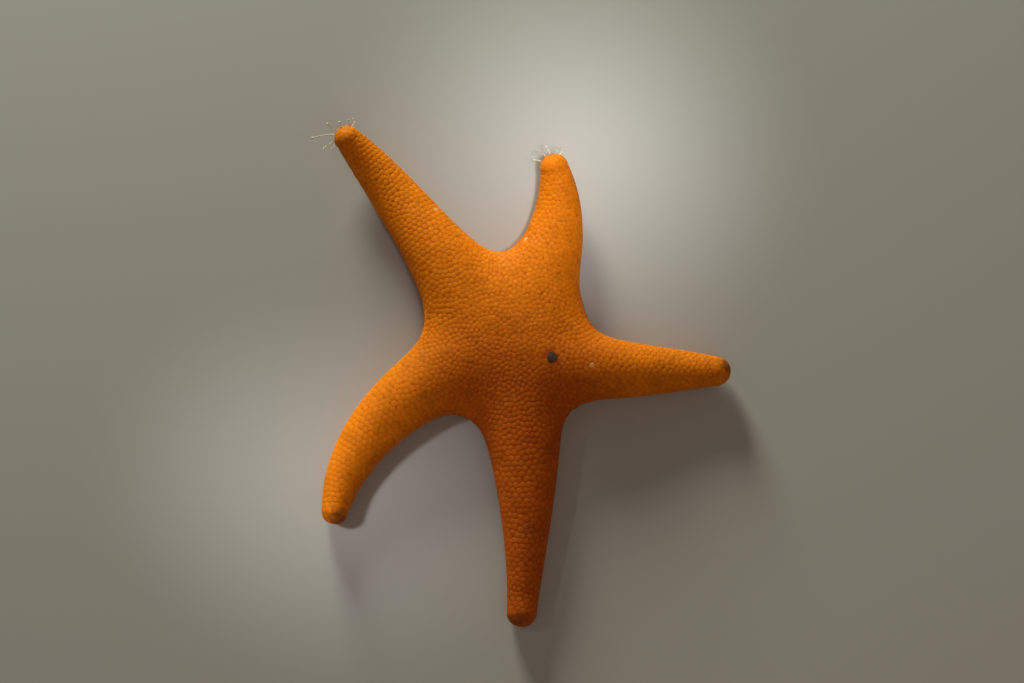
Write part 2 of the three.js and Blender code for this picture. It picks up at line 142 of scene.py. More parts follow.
class Station:
    """Sizes and directions of an arm at an array of shares of its length."""

    def __init__(self, arm, t):
        at = clamp01(t) * PATH_STEPS
        i = np.minimum(np.floor(at).astype(int), PATH_STEPS - 1)
        share = (at - i)[..., None]
        self.floor = mix(arm.path[i], arm.path[i + 1], share)
        heading = arm.heading(t)
        self.slope = arm.slope(t)
        outwards = clamp01((t * arm.length - DISC_REACH) / (arm.length - DISC_REACH))
        self.equator = mix(EQUATOR_DISC, EQUATOR_TIP, outwards)
        zero = np.zeros_like(heading)
        flat = np.cos(self.slope)
        self.left = np.stack([-np.sin(heading), np.cos(heading), zero], -1)
        self.ahead = np.stack([np.cos(heading) * flat, np.sin(heading) * flat, np.sin(self.slope)], -1)
        self.up = np.cross(self.ahead, self.left)
        self.centre = self.floor + self.up * self.equator[..., None]
        self.half = bezier(arm.widths, t)
        self.crest = bezier(CREST, t)

    def place(self, side, rise):
        """Points so far to the left of the arm's middle line on the floor, and above it."""
        side, rise = (np.asarray(v)[..., None] for v in (side, rise))
        return self.floor + self.left * side + self.up * rise


class Arm:
    def __init__(self, heading, bend, curl, length, widths, lift):
        self.turns = heading, bend, curl
        self.length = length
        self.widths = widths
        self.lift = lift
        middles = (np.arange(PATH_STEPS) + 0.5) / PATH_STEPS
        turn = self.heading(middles)
        moves = np.stack([np.cos(turn), np.sin(turn), np.tan(self.slope(middles))], -1)
        self.path = np.vstack([np.zeros(3), np.cumsum(moves * length / PATH_STEPS, axis=0)])
        self.shares = np.linspace(0, 1, PATH_STEPS + 1)
        self.travelled = run_along(self.path)

    def heading(self, t):
        heading, bend, curl = self.turns
        return np.radians(heading + bend * t + curl * t * t)

    def slope(self, t):
        start, steepest = self.lift
        return np.radians(steepest) * clamp01((t - start) / (1 - start))

    def at(self, t):
        return Station(self, np.asarray(t, float))

    def share_at(self, travelled):
        """The share of the arm's length reached after so many millimetres along its raised axis."""
        return np.interp(travelled, self.travelled, self.shares)

    def travelled_at(self, t):
        return np.interp(t, self.shares, self.travelled)

    def distance(self, p):
        """Signed distance, roughly, from points to this arm taken alone: negative inside."""
        start = self.path[:-1]
        step = np.diff(self.path, axis=0)
        dx = p[:, None, 0] - start[:, 0]
        dy = p[:, None, 1] - start[:, 1]
        k = clamp01((dx * step[:, 0] + dy * step[:, 1]) / (step[:, 0] ** 2 + step[:, 1] ** 2))
        shares = (np.arange(PATH_STEPS) + k) / PATH_STEPS
        away = np.hypot(dx - k * step[:, 0], dy - k * step[:, 1]) - bezier(self.widths, shares)
        nearest = away.argmin(1)
        rows = np.arange(len(p))
        s = self.at(shares[rows, nearest])
        side = (away[rows, nearest] + s.half) / s.half
        rise = ((p[:, 2] - s.floor[:, 2]) * np.cos(s.slope) - s.equator) / s.crest
        return s.half * (np.hypot(side, rise) - 1)


arms = [Arm(**sizes) for sizes in ARMS]


def to_skin(p):
    each = np.stack([arm.distance(p) for arm in arms])
    least = each.min(0)
    return least - WEB * np.log(np.exp((least - each) / WEB).sum(0))


def last_inside(far, is_inside):
    """For each row the last value between 0 and `far` at which `is_inside` still holds, by halving."""
    near = np.zeros_like(far)
    for _ in range(HALVINGS):
        middle = (near + far) / 2
        inside = is_inside(middle)
        near = np.where(inside, middle, near)
        far = np.where(inside, far, middle)
    return near


def reach(start, direction):
    flat_start = np.broadcast_to(start, direction.shape).reshape(-1, 3)
    flat_direction = direction.reshape(-1, 3)
    far = np.full(len(flat_start), float(FURTHEST))
    found = last_inside(far, lambda d: to_skin(flat_start + flat_direction * d[:, None]) < 0)
    return found.reshape(direction.shape[:-1])


def level_with_equator(plan):
    return plan * [1, 1, 0] + [0, 0, EQUATOR_DISC]


def crest_over(plan):
    """Level of the back's surface above points of the floor."""
    start = level_with_equator(plan)
    return EQUATOR_DISC + reach(start, np.broadcast_to([0.0, 0.0, 1.0], start.shape))


def sole_over(plan):
    """Level of the disc's sole: flat inside, rounding up to the widest outline."""
    p = level_with_equator(plan)
    inside = clamp01(-to_skin(p.reshape(-1, 3)).reshape(plan.shape[:-1]) / SOLE_ROUND_MOST)
    return EQUATOR_DISC * (1 - np.sqrt(1 - (1 - inside) ** 2))


def notch_between(arm, following):
    start = float(following.heading(NEAR_NOTCH))
    span = (float(arm.heading(NEAR_NOTCH)) - start) % (2 * math.pi)
    angles = start + span * np.arange(1, NOTCH_STEPS) / NOTCH_STEPS
    directions = np.stack([np.cos(angles), np.sin(angles), np.zeros_like(angles)], -1)
    distances = reach(np.array([0, 0, EQUATOR_DISC]), directions)
    best = distances.argmin()
    return directions[best] * distances[best]


for arm, following in zip(arms, arms[1:] + arms[:1]):
    arm.right_notch = notch_between(arm, following)
    following.left_notch = arm.right_notch
for arm in arms:
    arm.across = unit(arm.left_notch - arm.right_notch)
    outwards = np.array([arm.across[1], -arm.across[0], 0])
    crossing = last_inside(
        np.array([WEB_ENDS]), lambda t: (arm.at(t).floor - arm.right_notch) @ outwards < 0
    )
    arm.root = float(crossing[0])


def groove_half(arm, t):
    opening = mix(GROOVE_MOUTH, GROOVE_WIDEST, smooth(t / arm.root))
    return mix(opening, GROOVE_TIP, smooth((t - arm.root) / (1 - arm.root)))


def groove_depth(arm, t):
    open_depth = mix(GROOVE_DEPTH, GROOVE_DEPTH_TIP, smooth((t - arm.root) / (1 - arm.root)))
    return open_depth * (1 - smooth((t - BED_ENDS) / (GROOVE_ENDS - BED_ENDS)))


# ---- Sections across an arm ----

BACK_COLUMNS = 56
SOLE_COLUMNS = 14
GROOVE_COLUMNS = 7
GROOVE_BEND = (4, 1.32)  # powers of the round-shouldered groove's section
sole_shares = np.linspace(0, 1, SOLE_COLUMNS + 1)[1:]
groove_outs = np.cos(np.linspace(0, math.pi / 2, GROOVE_COLUMNS + 2))[1:-1]
groove_ups = (1 - groove_outs ** GROOVE_BEND[0]) ** (1 / GROOVE_BEND[1])
EQUATOR_LEFT = BACK_COLUMNS  # column of the left-hand outline, as the right-hand one is column 0
GROOVE_LEFT = BACK_COLUMNS + SOLE_COLUMNS
GROOVE_MIDDLE = GROOVE_LEFT + GROOVE_COLUMNS + 1
GROOVE_RIGHT = GROOVE_MIDDLE + GROOVE_COLUMNS + 1


def rings(arm, t, scale=None, on=None):
    """Rows of points round an arm: right outline, back, left outline, sole, groove and sole again."""
    scale = np.ones_like(t) if scale is None else scale
    on = np.zeros_like(t) if on is None else on
    s = arm.at(t)
    turn = smooth((t - arm.root) / RIB_TURN)[:, None]
    rib = unit(mix(arm.across, s.left, turn))
    phi = np.linspace(0, math.pi, BACK_COLUMNS + 1)
    direction = -np.cos(phi)[:, None] * rib[:, None] + np.sin(phi)[:, None] * s.up[:, None]
    round_reach = 1 / np.hypot(np.cos(phi) / s.half[:, None], np.sin(phi) / s.crest[:, None])
    webbed = t <= WEB_ENDS
    if webbed.any():
        centres = np.broadcast_to(s.centre[webbed, None], direction[webbed].shape)
        freed = smooth((t[webbed] - arm.root) / (WEB_ENDS - arm.root))[:, None]
        round_reach[webbed] = mix(reach(centres, direction[webbed]), round_reach[webbed], freed)
    centre = s.centre + s.ahead * on[:, None]

    def place(side, rise):
        side, rise = (np.asarray(v)[..., None] * scale[:, None, None] for v in (side, rise))
        return centre[:, None] + rib[:, None] * side + s.up[:, None] * rise

    back = place(-round_reach * np.cos(phi), round_reach * np.sin(phi))
    half = groove_half(arm, t)[:, None]
    depth = groove_depth(arm, t)[:, None]
    level = -s.equator[:, None]
    soft = np.minimum(SOLE_ROUND * s.half, SOLE_ROUND_MOST)[:, None]

    def lower(outline, sign):
        side = mix(outline[:, None], half, sole_shares)
        inside = clamp01((outline[:, None] - side) / soft)
        flat = place(sign * side, level * np.sqrt(1 - (1 - inside) ** 2))
        wall = place(sign * half * groove_outs, level + depth * groove_ups)
        return np.concatenate([flat, wall], 1)

    left = lower(round_reach[:, -1], 1)
    right = lower(round_reach[:, 0], -1)
    roof = place(np.zeros_like(half), level + depth)
    return np.concatenate([back, left, roof, right[:, ::-1]], 1)


def disc_back(arm, f):
    """Rows of the disc's back, at shares f of the way from its middle to the arm's root."""
    root = rings(arm, np.array([arm.root]))[0, : BACK_COLUMNS + 1]
    axis = arm.at(arm.root).floor
    side = (root - axis) @ arm.across
    to_right = np.linalg.norm(arm.right_notch[:2] - axis[:2])
    to_left = np.linalg.norm(arm.left_notch[:2] - axis[:2])
    share = clamp01(np.abs(side) / np.where(side < 0, to_right, to_left))
    share[0] = share[-1] = 1
    notch = np.where(side[:, None] < 0, arm.right_notch, arm.left_notch) * [1, 1, 0]
    middle = arm.at(arm.root * f).floor
    p = mix(middle[:, None], notch[None] * f[:, None, None], share[None, :, None])
    p[..., 2] = crest_over(p)
    return p


def disc_sole(arm, f):
    """Rows of the disc's sole, from the mouth's rim to the arm's root."""
    t = mix(MOUTH / arm.length, arm.root, f)
    s = arm.at(t)
    rib = unit(mix(s.left, arm.across, f[:, None]))
    half = groove_half(arm, t)[:, None, None]
    shares = np.concatenate([[0], sole_shares])

    def lower(notch, sign):
        outer = unit(notch * [1, 1, 0]) * mix(MOUTH, np.linalg.norm(notch[:2]), f)[:, None]
        edge = s.floor + rib * sign * half[:, 0]
        flat = mix(outer[:, None], edge[:, None], shares[None, :, None])
        flat[..., 2] = sole_over(flat)
        wall = s.floor[:, None] + rib[:, None] * sign * half * groove_outs[:, None]
        wall[..., 2] = GROOVE_DEPTH * groove_ups
        return np.concatenate([flat, wall], 1)

    roof = s.floor * [1, 1, 0] + [0, 0, GROOVE_DEPTH]
    return np.concatenate([lower(arm.left_notch, 1), roof[:, None], lower(arm.right_notch, -1)[:, ::-1]], 1)


# ---- The whole surface as one grid to an arm ----

DISC_ROWS = 44
DISC_CROWDING = 1.35  # gathers the disc's rows at the arm's root
ARM_STEP = 0.5
CAP_ROWS = 10
PIT_ROWS = 5
COATS = (0.14, 0.12, 0.14, 0.10, 0.10)  # depth of the granules on each arm's back
COAT_DISC = 0.11
SOLE_COAT = 0.28
COAT_BLEND = 0.6  # the disc's coat begins to turn into the arm's at this share of DISC_REACH
SOLE_FADE = 0.12  # shares of the sole's width over which its coat thins out at the groove
SOLE_START = 0.3  # and over which the back's coat turns into it
MOUTH_ROWS = 9  # rows over which it thins out at the mouth
WELD = 0.001  # points of neighbouring grids that are as close as this are one
ATLAS = 215.0  # millimetres of skin across the flattened map
CHART = (0.5, 0.2)  # each arm's back and sole lie flattened in one cell of it
CHART_EDGE = 0.02


def arm_rows(arm, step):
    """Shares of the arm's length at even steps along its raised axis, from its root to its end."""
    start, stop = arm.travelled_at(arm.root), arm.travelled[-1]
    count = int(round((stop - start) / step))
    return arm.share_at(np.linspace(start, stop, count + 1))


def cap_rings(arm, angles):
    one = np.ones(len(angles))
    return rings(arm, one, np.cos(angles), arm.at(1).half * np.sin(angles))


def surface(arm):
    """Grids of the arm's back and of its underside, from the disc's middle to the pole of the end."""
    f = 1 - (1 - np.linspace(0, 1, DISC_ROWS + 1)[:-1]) ** DISC_CROWDING
    free = rings(arm, arm_rows(arm, ARM_STEP))
    cap = cap_rings(arm, np.linspace(0, math.pi / 2, CAP_ROWS + 1)[1:])
    round_rows = np.concatenate([free, cap])
    underside = np.concatenate([round_rows[:, EQUATOR_LEFT:], round_rows[:, :1]], 1)
    back = np.concatenate([disc_back(arm, f), round_rows[:, : EQUATOR_LEFT + 1]])
    rim = disc_sole(arm, f)
    sink = np.sin(np.linspace(0, math.pi / 2, PIT_ROWS + 1))[:, None, None]
    pit = rim[:1] * [MOUTH_TAPER, MOUTH_TAPER, 0] + [0, 0, GROOVE_DEPTH]
    sides = mix(rim[:1], pit, sink)[::-1]
    roof = pit * [0, 0, 1]
    return back, np.concatenate([roof, sides[:-1], rim, underside])


def flatten(grid, middle, chart):
    """Places on the flattened map: along the grid's middle column, and across from it."""
    along = run_along(grid[:, middle])
    steps = np.linalg.norm(np.diff(grid, axis=1), axis=2)
    across = np.concatenate([np.zeros((len(grid), 1)), np.cumsum(steps, axis=1)], 1)
    across -= across[:, middle : middle + 1]
    u = (chart[0] + CHART_EDGE) * CHART[0] + along[:, None] / ATLAS
    v = (chart[1] + 0.5) * CHART[1] + across / ATLAS
    return np.stack(np.broadcast_arrays(u, v), -1)


def grid_triangles(rows, columns, first):
    corner = first + np.arange(rows - 1)[:, None] * columns + np.arange(columns - 1)
    a, b, c, d = corner, corner + columns, corner + columns + 1, corner + 1
    return np.concatenate([np.stack([a, b, c], -1).reshape(-1, 3), np.stack([a, c, d], -1).reshape(-1, 3)])


def underside_depth(rows, coat):
    """Depth of the coat under each column of the underside: none in the groove."""
    flat = np.concatenate([[0], sole_shares])
    depth = mix(SOLE_COAT, coat, smooth(1 - flat / SOLE_START)) * smooth((1 - flat) / SOLE_FADE)
    row = np.concatenate([depth, np.zeros(2 * GROOVE_COLUMNS + 1), depth[::-1]])
    return np.tile(row, (rows, 1))


def vertex_normals(points, triangles):
    a, b, c = (points[triangles[:, i]] for i in range(3))
    face = np.cross(b - a, c - a)
    normal = np.zeros_like(points)
    for i in range(3):
        np.add.at(normal, triangles[:, i], face)
    return unit(normal + 1e-12)


def build_surface():
    """The whole outer form: welded points and triangles, and for each grid point its map place and depth."""
    points, places, depths, owners, triangles = [], [], [], [], []
    count = 0
    for number, arm in enumerate(arms):
        for side, grid in enumerate(surface(arm)):
            rows, columns = grid.shape[:2]
            points.append(grid.reshape(-1, 3))
            places.append(flatten(grid, columns // 2, (side, number)).reshape(-1, 2))
            if side == 0:
                out = away_from(grid) - DISC_REACH * COAT_BLEND
                depth = mix(COAT_DISC, COATS[number], smooth(out / DISC_REACH))
            else:
                depth = underside_depth(rows, COATS[number])
                pit_end = PIT_ROWS + 1
                depth[:pit_end] = 0
                depth[pit_end : pit_end + MOUTH_ROWS] *= np.linspace(0, 1, MOUTH_ROWS)[:, None]
            depths.append(depth.ravel())
            owners.append(np.full(rows * columns, number))
            triangles.append(grid_triangles(rows, columns, count))
            count += rows * columns
    points, places, corners = (np.concatenate(v) for v in (points, places, triangles))
    cells = np.round(points / WELD).astype(int)
    _, first, welded = np.unique(cells, axis=0, return_index=True, return_inverse=True)
    joined = welded.ravel()[corners]
    whole = (joined != np.roll(joined, 1, axis=1)).all(1)
    depth = np.full(len(first), np.inf)
    np.minimum.at(depth, welded.ravel(), np.concatenate(depths))
    return dict(
        points=points[first],
        normals=vertex_normals(points[first], joined[whole]),
        triangles=joined[whole],
        places=places,
        corners=corners[whole],
        place=places[first],
        owner=np.concatenate(owners)[first],
        depth=depth,
    )


form = build_surface()


def add_object(name, data):
    made = bpy.data.objects.new(name, data)
    bpy.context.scene.collection.objects.link(made)
    return made


def write_mesh(name, points, faces, material, marks_and_shade=None, places=None):
    """A smooth mesh object in metres in the model's frame; `places` gives each face corner's map place."""
    mesh = bpy.data.meshes.new(name)
    mesh.from_pydata(points * MM + CENTRE, [], [corners for same in faces for corners in same.tolist()])
    for mark, values in (marks_and_shade or {}).items():
        attribute = mesh.attributes.new(mark, "FLOAT", "POINT")
        attribute.data.foreach_set("value", values.astype(np.float32))
    if places is not None:
        layer = mesh.uv_layers.new(name="OFBake")
        layer.data.foreach_set("uv", places.astype(np.float32).ravel())
    mesh.validate()
    mesh.shade_smooth()
    mesh.materials.append(material)
    piece = add_object(name, mesh)
    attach(piece, "root")
    return piece


# ---- Granules: where they sit ----

DISC_LATTICE = (1.28, 1.12)  # from one granule to the next along a row, and from row to row
LATTICES = [
    ((1.52, 1.32), (1.38, 1.2)), ((1.32, 1.16), (1.22, 1.06)), ((2.6, 0.79), (2.42, 0.74)),
    ((1.62, 1.42), (1.96, 1.05)), ((1.62, 1.4), (1.46, 1.26)),
]  # the same for each arm, at its root and at its end
SOLE_PITCH = 1.25
SOLE_EDGE = 0.75  # the rows keep this far from the groove's edge
JITTER_ARM = 0.2
JITTER_DISC = 0.36
CROWDED = 0.66  # granules closer than this share of their spacing are thinned out
RELAX_STEPS = 14
RELAX_SPACING = 1.03  # granules closer than this share of their spacing push each other
RELAX_PUSH = 0.3
NEAREST = 6  # neighbours looked at
SETTLED = 16.0  # past an arm's root by this the rows keep their order
WAVE = 0.22  # how far the rows wander
WAVE_LENGTHS = (7.0, 11.0, 5.0)
SMOOTHED_OVER = 14  # points of the form whose normals are averaged
BARE = 0.7  # spots further than this share of the spacing from a granule get one of their own
SIEVE_CLEAR = 0.35
FIRST_ROW = 0.9  # from the disc's middle
LAST_ROW = 1.3  # radians round the arm's end
SOLE_ROWS = 0.08  # the sole's rows begin at this share of the way from the mouth to the arm's root

rng = np.random.default_rng(11)


def along_row(row, middle, pitch, odd, margin):
    """Points at even steps along a row of surface points, counted from its middle column."""
    run = run_along(row)
    run -= run[middle]
    low, high = run[0] + margin, run[-1] - margin
    steps = np.arange(math.ceil(low / pitch - odd), math.floor(high / pitch - odd) + 1)
    at = (steps + odd) * pitch
    return np.stack([np.interp(at, run, row[:, i]) for i in range(3)], -1)


def granule_rows(number, arm):
    """Rows across the arm's fifth of the disc and across the arm: points, and how far out each row is."""
    whole = arm.travelled[-1]
    root = arm.travelled_at(arm.root)
    end_half = float(arm.at(1).half)
    at_root, at_end = np.array(LATTICES[number])
    found = []
    run, odd = FIRST_ROW, 0.0
    while run < whole + end_half * LAST_ROW:
        free = mix(at_root, at_end, clamp01((run - root) / (whole - root)))
        pitch, step = mix(np.array(DISC_LATTICE), free, smooth(run / root))
        t = arm.share_at(run)
        if run < root:
            row = disc_back(arm, np.array([t / arm.root]))[0]
            found.append((along_row(row, BACK_COLUMNS // 2, pitch, odd, 0), run - root, True))
            rim = MOUTH / arm.length
            f = (t - rim) / (arm.root - rim)
            if f > SOLE_ROWS:
                row = disc_sole(arm, np.array([f]))[0]
                for half in (row[SOLE_COLUMNS::-1], row[-SOLE_COLUMNS - 1 :]):
                    found.append((along_row(half, 0, SOLE_PITCH, odd + SOLE_EDGE, 0), run - root, False))
        else:
            angle = max(run - whole, 0) / end_half
            row = cap_rings(arm, np.array([angle]))[0] if angle else rings(arm, np.array([t]))[0]
            row = np.concatenate([row[GROOVE_RIGHT:], row[: GROOVE_LEFT + 1]])
            middle = len(row) - (SOLE_COLUMNS + BACK_COLUMNS // 2) - 1
            margin = SOLE_EDGE * (1 - float(smooth(2 * angle)))
            found.append((along_row(row, middle, pitch, odd, margin), run - root, True))
        run += step
        odd = 0.5 - odd
    pole = arm.at(1)
    found.append(((pole.centre + pole.ahead * pole.half)[None], whole - root, True))
    return found


def apart(lattice):
    """Distance between neighbours where every other row is shifted by half the pitch."""
    pitch, step = lattice
    return min(pitch, math.hypot(pitch / 2, step))


def spacing_at(points, owners):
    """How far apart the granules of each arm and of the disc are meant to be at these points."""
    wanted = np.full(len(points), apart(DISC_LATTICE))
    for number, arm in enumerate(arms):
        own = owners == number
        root, whole = arm.travelled_at(arm.root), arm.travelled[-1]
        out = clamp01((away_from(points[own]) - root) / (whole - root))
        wanted[own] = mix(*map(apart, LATTICES[number]), out)
    return wanted


def tree_of(points):
    tree = kdtree.KDTree(len(points))
    for i, p in enumerate(points):
        tree.insert(p, i)
    tree.balance()
    return tree


def neighbours(points, count):
    """Distances and numbers of each point's nearest others."""
    tree = tree_of(points)
    found = [tree.find_n(p, count + 1)[1:] for p in points]
    return (
        np.array([[hit[2] for hit in hits] for hits in found]),
        np.array([[hit[1] for hit in hits] for hits in found]),
    )


form_tree = tree_of(form["points"])


def skin_at(points):
    """Numbers of the nearest points of the form, and the skin's smoothed normal there."""
    found = [form_tree.find_n(p, SMOOTHED_OVER) for p in points]
    near = np.array([[hit[1] for hit in hits] for hits in found])
    return near[:, 0], unit(form["normals"][near].sum(1))


def settle(points):
    """Drops points straight onto the form's surface."""
    nearest, normal = skin_at(points)
    off = ((points - form["points"][nearest]) * normal).sum(1, keepdims=True)
    return points - normal * off


def wander(points):
    """A slow drift over the skin that takes the stiffness out of the rows."""
    x, y = points[:, 0], points[:, 1]
    normal = skin_at(points)[1]
    long, longer, short = (2 * math.pi / length for length in WAVE_LENGTHS)
    east = np.sin(long * y + 1.3 * np.sin(longer * x)) + 0.6 * np.sin(short * (x + y) + 0.7)
    north = np.sin(long * x - 1.1 * np.sin(longer * y) + 2) + 0.6 * np.sin(short * (x - y) + 1.9)
    drift = WAVE * np.stack([east, north, np.zeros_like(x)], -1)
    return drift - normal * (drift * normal).sum(1, keepdims=True)


def lay_granules():
    """For each granule its place, its arm or the disc, how far out it is and whether it is on the back."""
    found = [
        (row, number if out > 0 else len(arms), out, back)
        for number, arm in enumerate(arms)
        for row, out, back in granule_rows(number, arm)
    ]
    rows, *facts = zip(*found)
    points = np.concatenate(rows)
    owners, outs, backs = (np.repeat(fact, [len(row) for row in rows]) for fact in facts)
    loose = smooth(1 - outs / SETTLED)[:, None]
    drift = rng.normal(size=points.shape) * mix(JITTER_ARM, JITTER_DISC, loose) + wander(points)
    points[backs] = settle(points[backs] + drift[backs])
    tree = tree_of(points)
    wanted = CROWDED * spacing_at(points, owners)
    kept = np.zeros(len(points), bool)
    for i in np.argsort(-outs, kind="stable"):
        kept[i] = not any(kept[hit[1]] for hit in tree.find_range(points[i], wanted[i]))
    return points[kept], owners[kept], outs[kept], backs[kept]


def relax(points, owners, outs, backs):
    """Lets neighbouring granules push each other apart over the skin, most freely on the disc."""
    freedom = mix(0.5, 1, 1 - smooth(outs / SETTLED))
    mobile = np.flatnonzero(backs)
    wanted = RELAX_SPACING * spacing_at(points, owners)[mobile, None]
    for _ in range(RELAX_STEPS):
        distance, other = neighbours(points, NEAREST)
        away = unit(points[mobile, None] - points[other[mobile]])
        push = np.maximum(wanted - distance[mobile], 0)[..., None] * away
        points[mobile] += RELAX_PUSH * push.sum(1) * freedom[mobile, None]
        points[mobile] = settle(points[mobile])
    return points


def fill_bare(points, owners, outs, backs):
    """Adds a granule wherever the skin would otherwise show a bare spot."""
    tree = tree_of(points)
    groove = tree_of(form["points"][form["depth"] == 0])
    clear = np.array([groove.find(p)[2] for p in form["points"]]) > SOLE_EDGE
    spots, owner = form["points"][clear], form["owner"][clear]
    run = away_from(spots)
    wanted = spacing_at(spots, np.where(run > DISC_REACH, owner, len(arms))) * BARE
    away = np.array([tree.find(p)[2] for p in spots]) / wanted
    added = []
    for i in np.argsort(-away)[: (away > 1).sum()]:
        if all(np.linalg.norm(spots[i] - spots[j]) > wanted[i] for j in added):
            added.append(i)
    out = run[added] - np.array([arm.travelled_at(arm.root) for arm in arms])[owner[added]]
    new = spots[added], np.where(out > 0, owner[added], len(arms)), out, spots[added, 2] > EQUATOR_TIP / 2
    return [np.concatenate(pair) for pair in zip((points, owners, outs, backs), new)]


def clear_sieve(points, owners, outs, backs):
    kept = ~backs | (away_from(points, SIEVE["x"], SIEVE["y"]) > SIEVE["radius"] + SIEVE_CLEAR)
    return points[kept], owners[kept], outs[kept], backs[kept]


layout = lay_granules()
layout = fill_bare(relax(*layout), *layout[1:])
layout = clear_sieve(relax(*layout), *layout[1:])
granules, granule_owner, granule_out, granule_back = layout


# ---- Granules: their shape ----

SPINELETS = ((3, 7), (4, 7), (3, 6), (4, 8))  # in two rounds about the middle one, in four kinds of granule
KNOB_SIDES = 12
KNOB_RINGS = ((0.40, 0.72), (0.80, 0.46), (1.22, -0.3))  # radius and height of each ring
KNOB_TOP = 0.8
SPINELET_SIDES = 5
SPINELET_RINGS = ((0.135, 0.45), (0.10, 0.9))
SPINELET_ROUNDS = ((0.36, 0.06), (0.72, 0.28))  # how far out each round stands, and how much lower
SPINELET_SPLAY = 0.05
SPINELET_SINKS = 1.5  # an outer spinelet's foot lies lower by this many times what its top does
GRANULE_FILL = 0.58  # granule radius as a share of the way to its neighbours
GRANULE_VARIES = 0.07  # by this much of its size on the disc, and half as much on the arms
WIDEST = 2.1  # a granule beside a gap grows as if its neighbours were no further away
SUNK = 0.1  # how much further than its own shape a granule's foot reaches into the skin
ON_SOLE = 0.02  # granules lower than this lie flat on the floor
BAKE_PATCH = 0.0028
INNER_SHARE = 0.45  # where each arm's granules are parted into two meshes


def copies(points, quads, fans):
    """Many like forms, each with a row of points, as one: points, quads and triangles."""
    first = np.arange(len(points))[:, None, None] * points.shape[1]
    return points.reshape(-1, 3), (first + quads).reshape(-1, 4), (first + fans).reshape(-1, 3)


def bands(steps, sides):
    """Quads between so many rings of points, one ring after the other."""
    i = np.arange(sides)
    j = (i + 1) % sides
    return np.vstack([np.stack([i, j, j + sides, i + sides], -1) + k * sides for k in range(steps - 1)])


def fan(first, tip, sides):
    """Triangles from a ring of points, numbered from `first`, to its tip."""
    i = np.arange(sides)
    return np.stack([i + first, (i + 1) % sides + first, np.full(sides, tip)], -1)


def ring_of(radius, height, sides, x=0.0, y=0.0, start=0.0):
    turn = start + np.arange(sides) * 2 * math.pi / sides
    return np.stack([x + radius * np.cos(turn), y + radius * np.sin(turn), np.full(sides, height)], -1)


def dome(rings_of, top):
    """Rings from top to bottom closed by a point: points, quads and triangles."""
    sides = len(rings_of[0])
    points = np.vstack([*rings_of, [top]])
    return points, bands(len(rings_of), sides)[:, ::-1], fan(0, len(points) - 1, sides)


def granule_shape(around):
    """A low knob crowned with short blunt spinelets: points of unit radius and height, quads, triangles."""
    parts = [dome([ring_of(r, h, KNOB_SIDES) for r, h in KNOB_RINGS], (0, 0, KNOB_TOP))]
    stands = [(0.0, 0.0, 0.0, 0.0)]
    for count, (out, drop) in zip(around, SPINELET_ROUNDS):
        turns = (np.arange(count) + out) * 2 * math.pi / count
        stands += [(turn, out, out + SPINELET_SPLAY, drop) for turn in turns]
    (low_r, low), (high_r, high) = SPINELET_RINGS
    for turn, out, tip, drop in stands:
        x, y = math.cos(turn), math.sin(turn)
        foot = ring_of(low_r, low - SPINELET_SINKS * drop, SPINELET_SIDES, x * out, y * out, turn)
        crown = ring_of(high_r, high - drop, SPINELET_SIDES, x * tip, y * tip, turn)
        parts.append(dome([crown, foot], (x * tip, y * tip, 1.0 - drop)))
    points, faces = join(parts)
    return points, *faces


granule_kinds = [granule_shape(around) for around in SPINELETS]


def frames_at(points):
    """Nearest grid point of the form to each point, its normal, and two directions in the skin there."""
    nearest, normal = skin_at(points)
    normal[points[:, 2] < ON_SOLE] = 0, 0, -1
    ahead = np.zeros_like(normal)
    for number, arm in enumerate(arms):
        near = form["owner"][nearest] == number
        ahead[near] = arm.at(arm.share_at(away_from(points[near]))).ahead
    ahead = unit(ahead - normal * (ahead * normal).sum(1, keepdims=True))
    return nearest, normal, ahead, np.cross(normal, ahead)


nearest_form, granule_normal, ahead, left = frames_at(granules)
granule_frame = left, ahead, granule_normal
granule_depth = np.maximum(form["depth"][nearest_form], COAT_DISC)
granule_spacing = np.minimum(neighbours(granules, NEAREST)[0].mean(1), WIDEST)
granule_tone = rng.random(len(granules))
granule_size = 1 + GRANULE_VARIES * rng.normal(size=len(granules)) * np.where(granule_out < 0, 1, 0.5)
granule_radius = granule_spacing * GRANULE_FILL * granule_size


# ---- Markings and painted shade, the same for skin and granules ----

SHADE_RED_FROM, SHADE_RED_TO = 15.0, -15.0  # painted shade: levels along Y between which the skin grows darker and redder
SHADE_RED_MIDDLE, SHADE_RED_NEAR, SHADE_RED_FAR = 4.0, 10.0, 32.0  # and how far to each side of the front arm it does
STAINS = [
    (-41.4, -43.6, 2.1, 0.75), (54.6, -5.6, 2.2, 0.75), (3.0, -68.2, 2.6, 0.4),
    (4.8, -46.6, 2.2, 0.35), (-41.0, 56.5, 3.2, 0.4),
]  # brown patches: place, radius and strength
STAIN_EDGE = 0.35  # share of its radius within which a patch keeps its full strength
UNDER_FROM, UNDER_OVER = 0.1, 0.75  # how far down the skin faces where it turns pale, and over how much more
SPECKS = [(4.0, 25.6), (20.8, -6.4), (-17.5, 33.0), (38.2, 1.2)]  # single pale granules
SPECK_REACH = 1.0
SPECK_STRENGTH = 0.55
KIND_MIXER = 97  # spreads a granule's tone over the kinds of granule


def marks_and_shade_at(points, normals):
    stain = np.zeros(len(points))
    for x, y, radius, strength in STAINS:
        fade = smooth(away_from(points, x, y) / radius - STAIN_EDGE)
        stain = np.maximum(stain, strength * (1 - fade))
    under = smooth((-normals[:, 2] - UNDER_FROM) / UNDER_OVER)
    stain *= 1 - under
    # painted shade: darker and redder towards the front arm and the lower disc
    painted_shade = smooth((points[:, 1] - SHADE_RED_FROM) / (SHADE_RED_TO - SHADE_RED_FROM))
    painted_shade *= 1 - smooth((np.abs(points[:, 0] - SHADE_RED_MIDDLE) - SHADE_RED_NEAR) / (SHADE_RED_FAR - SHADE_RED_NEAR))
    return dict(stain=stain, painted_shade=painted_shade, under=under)


# ---- Materials ----

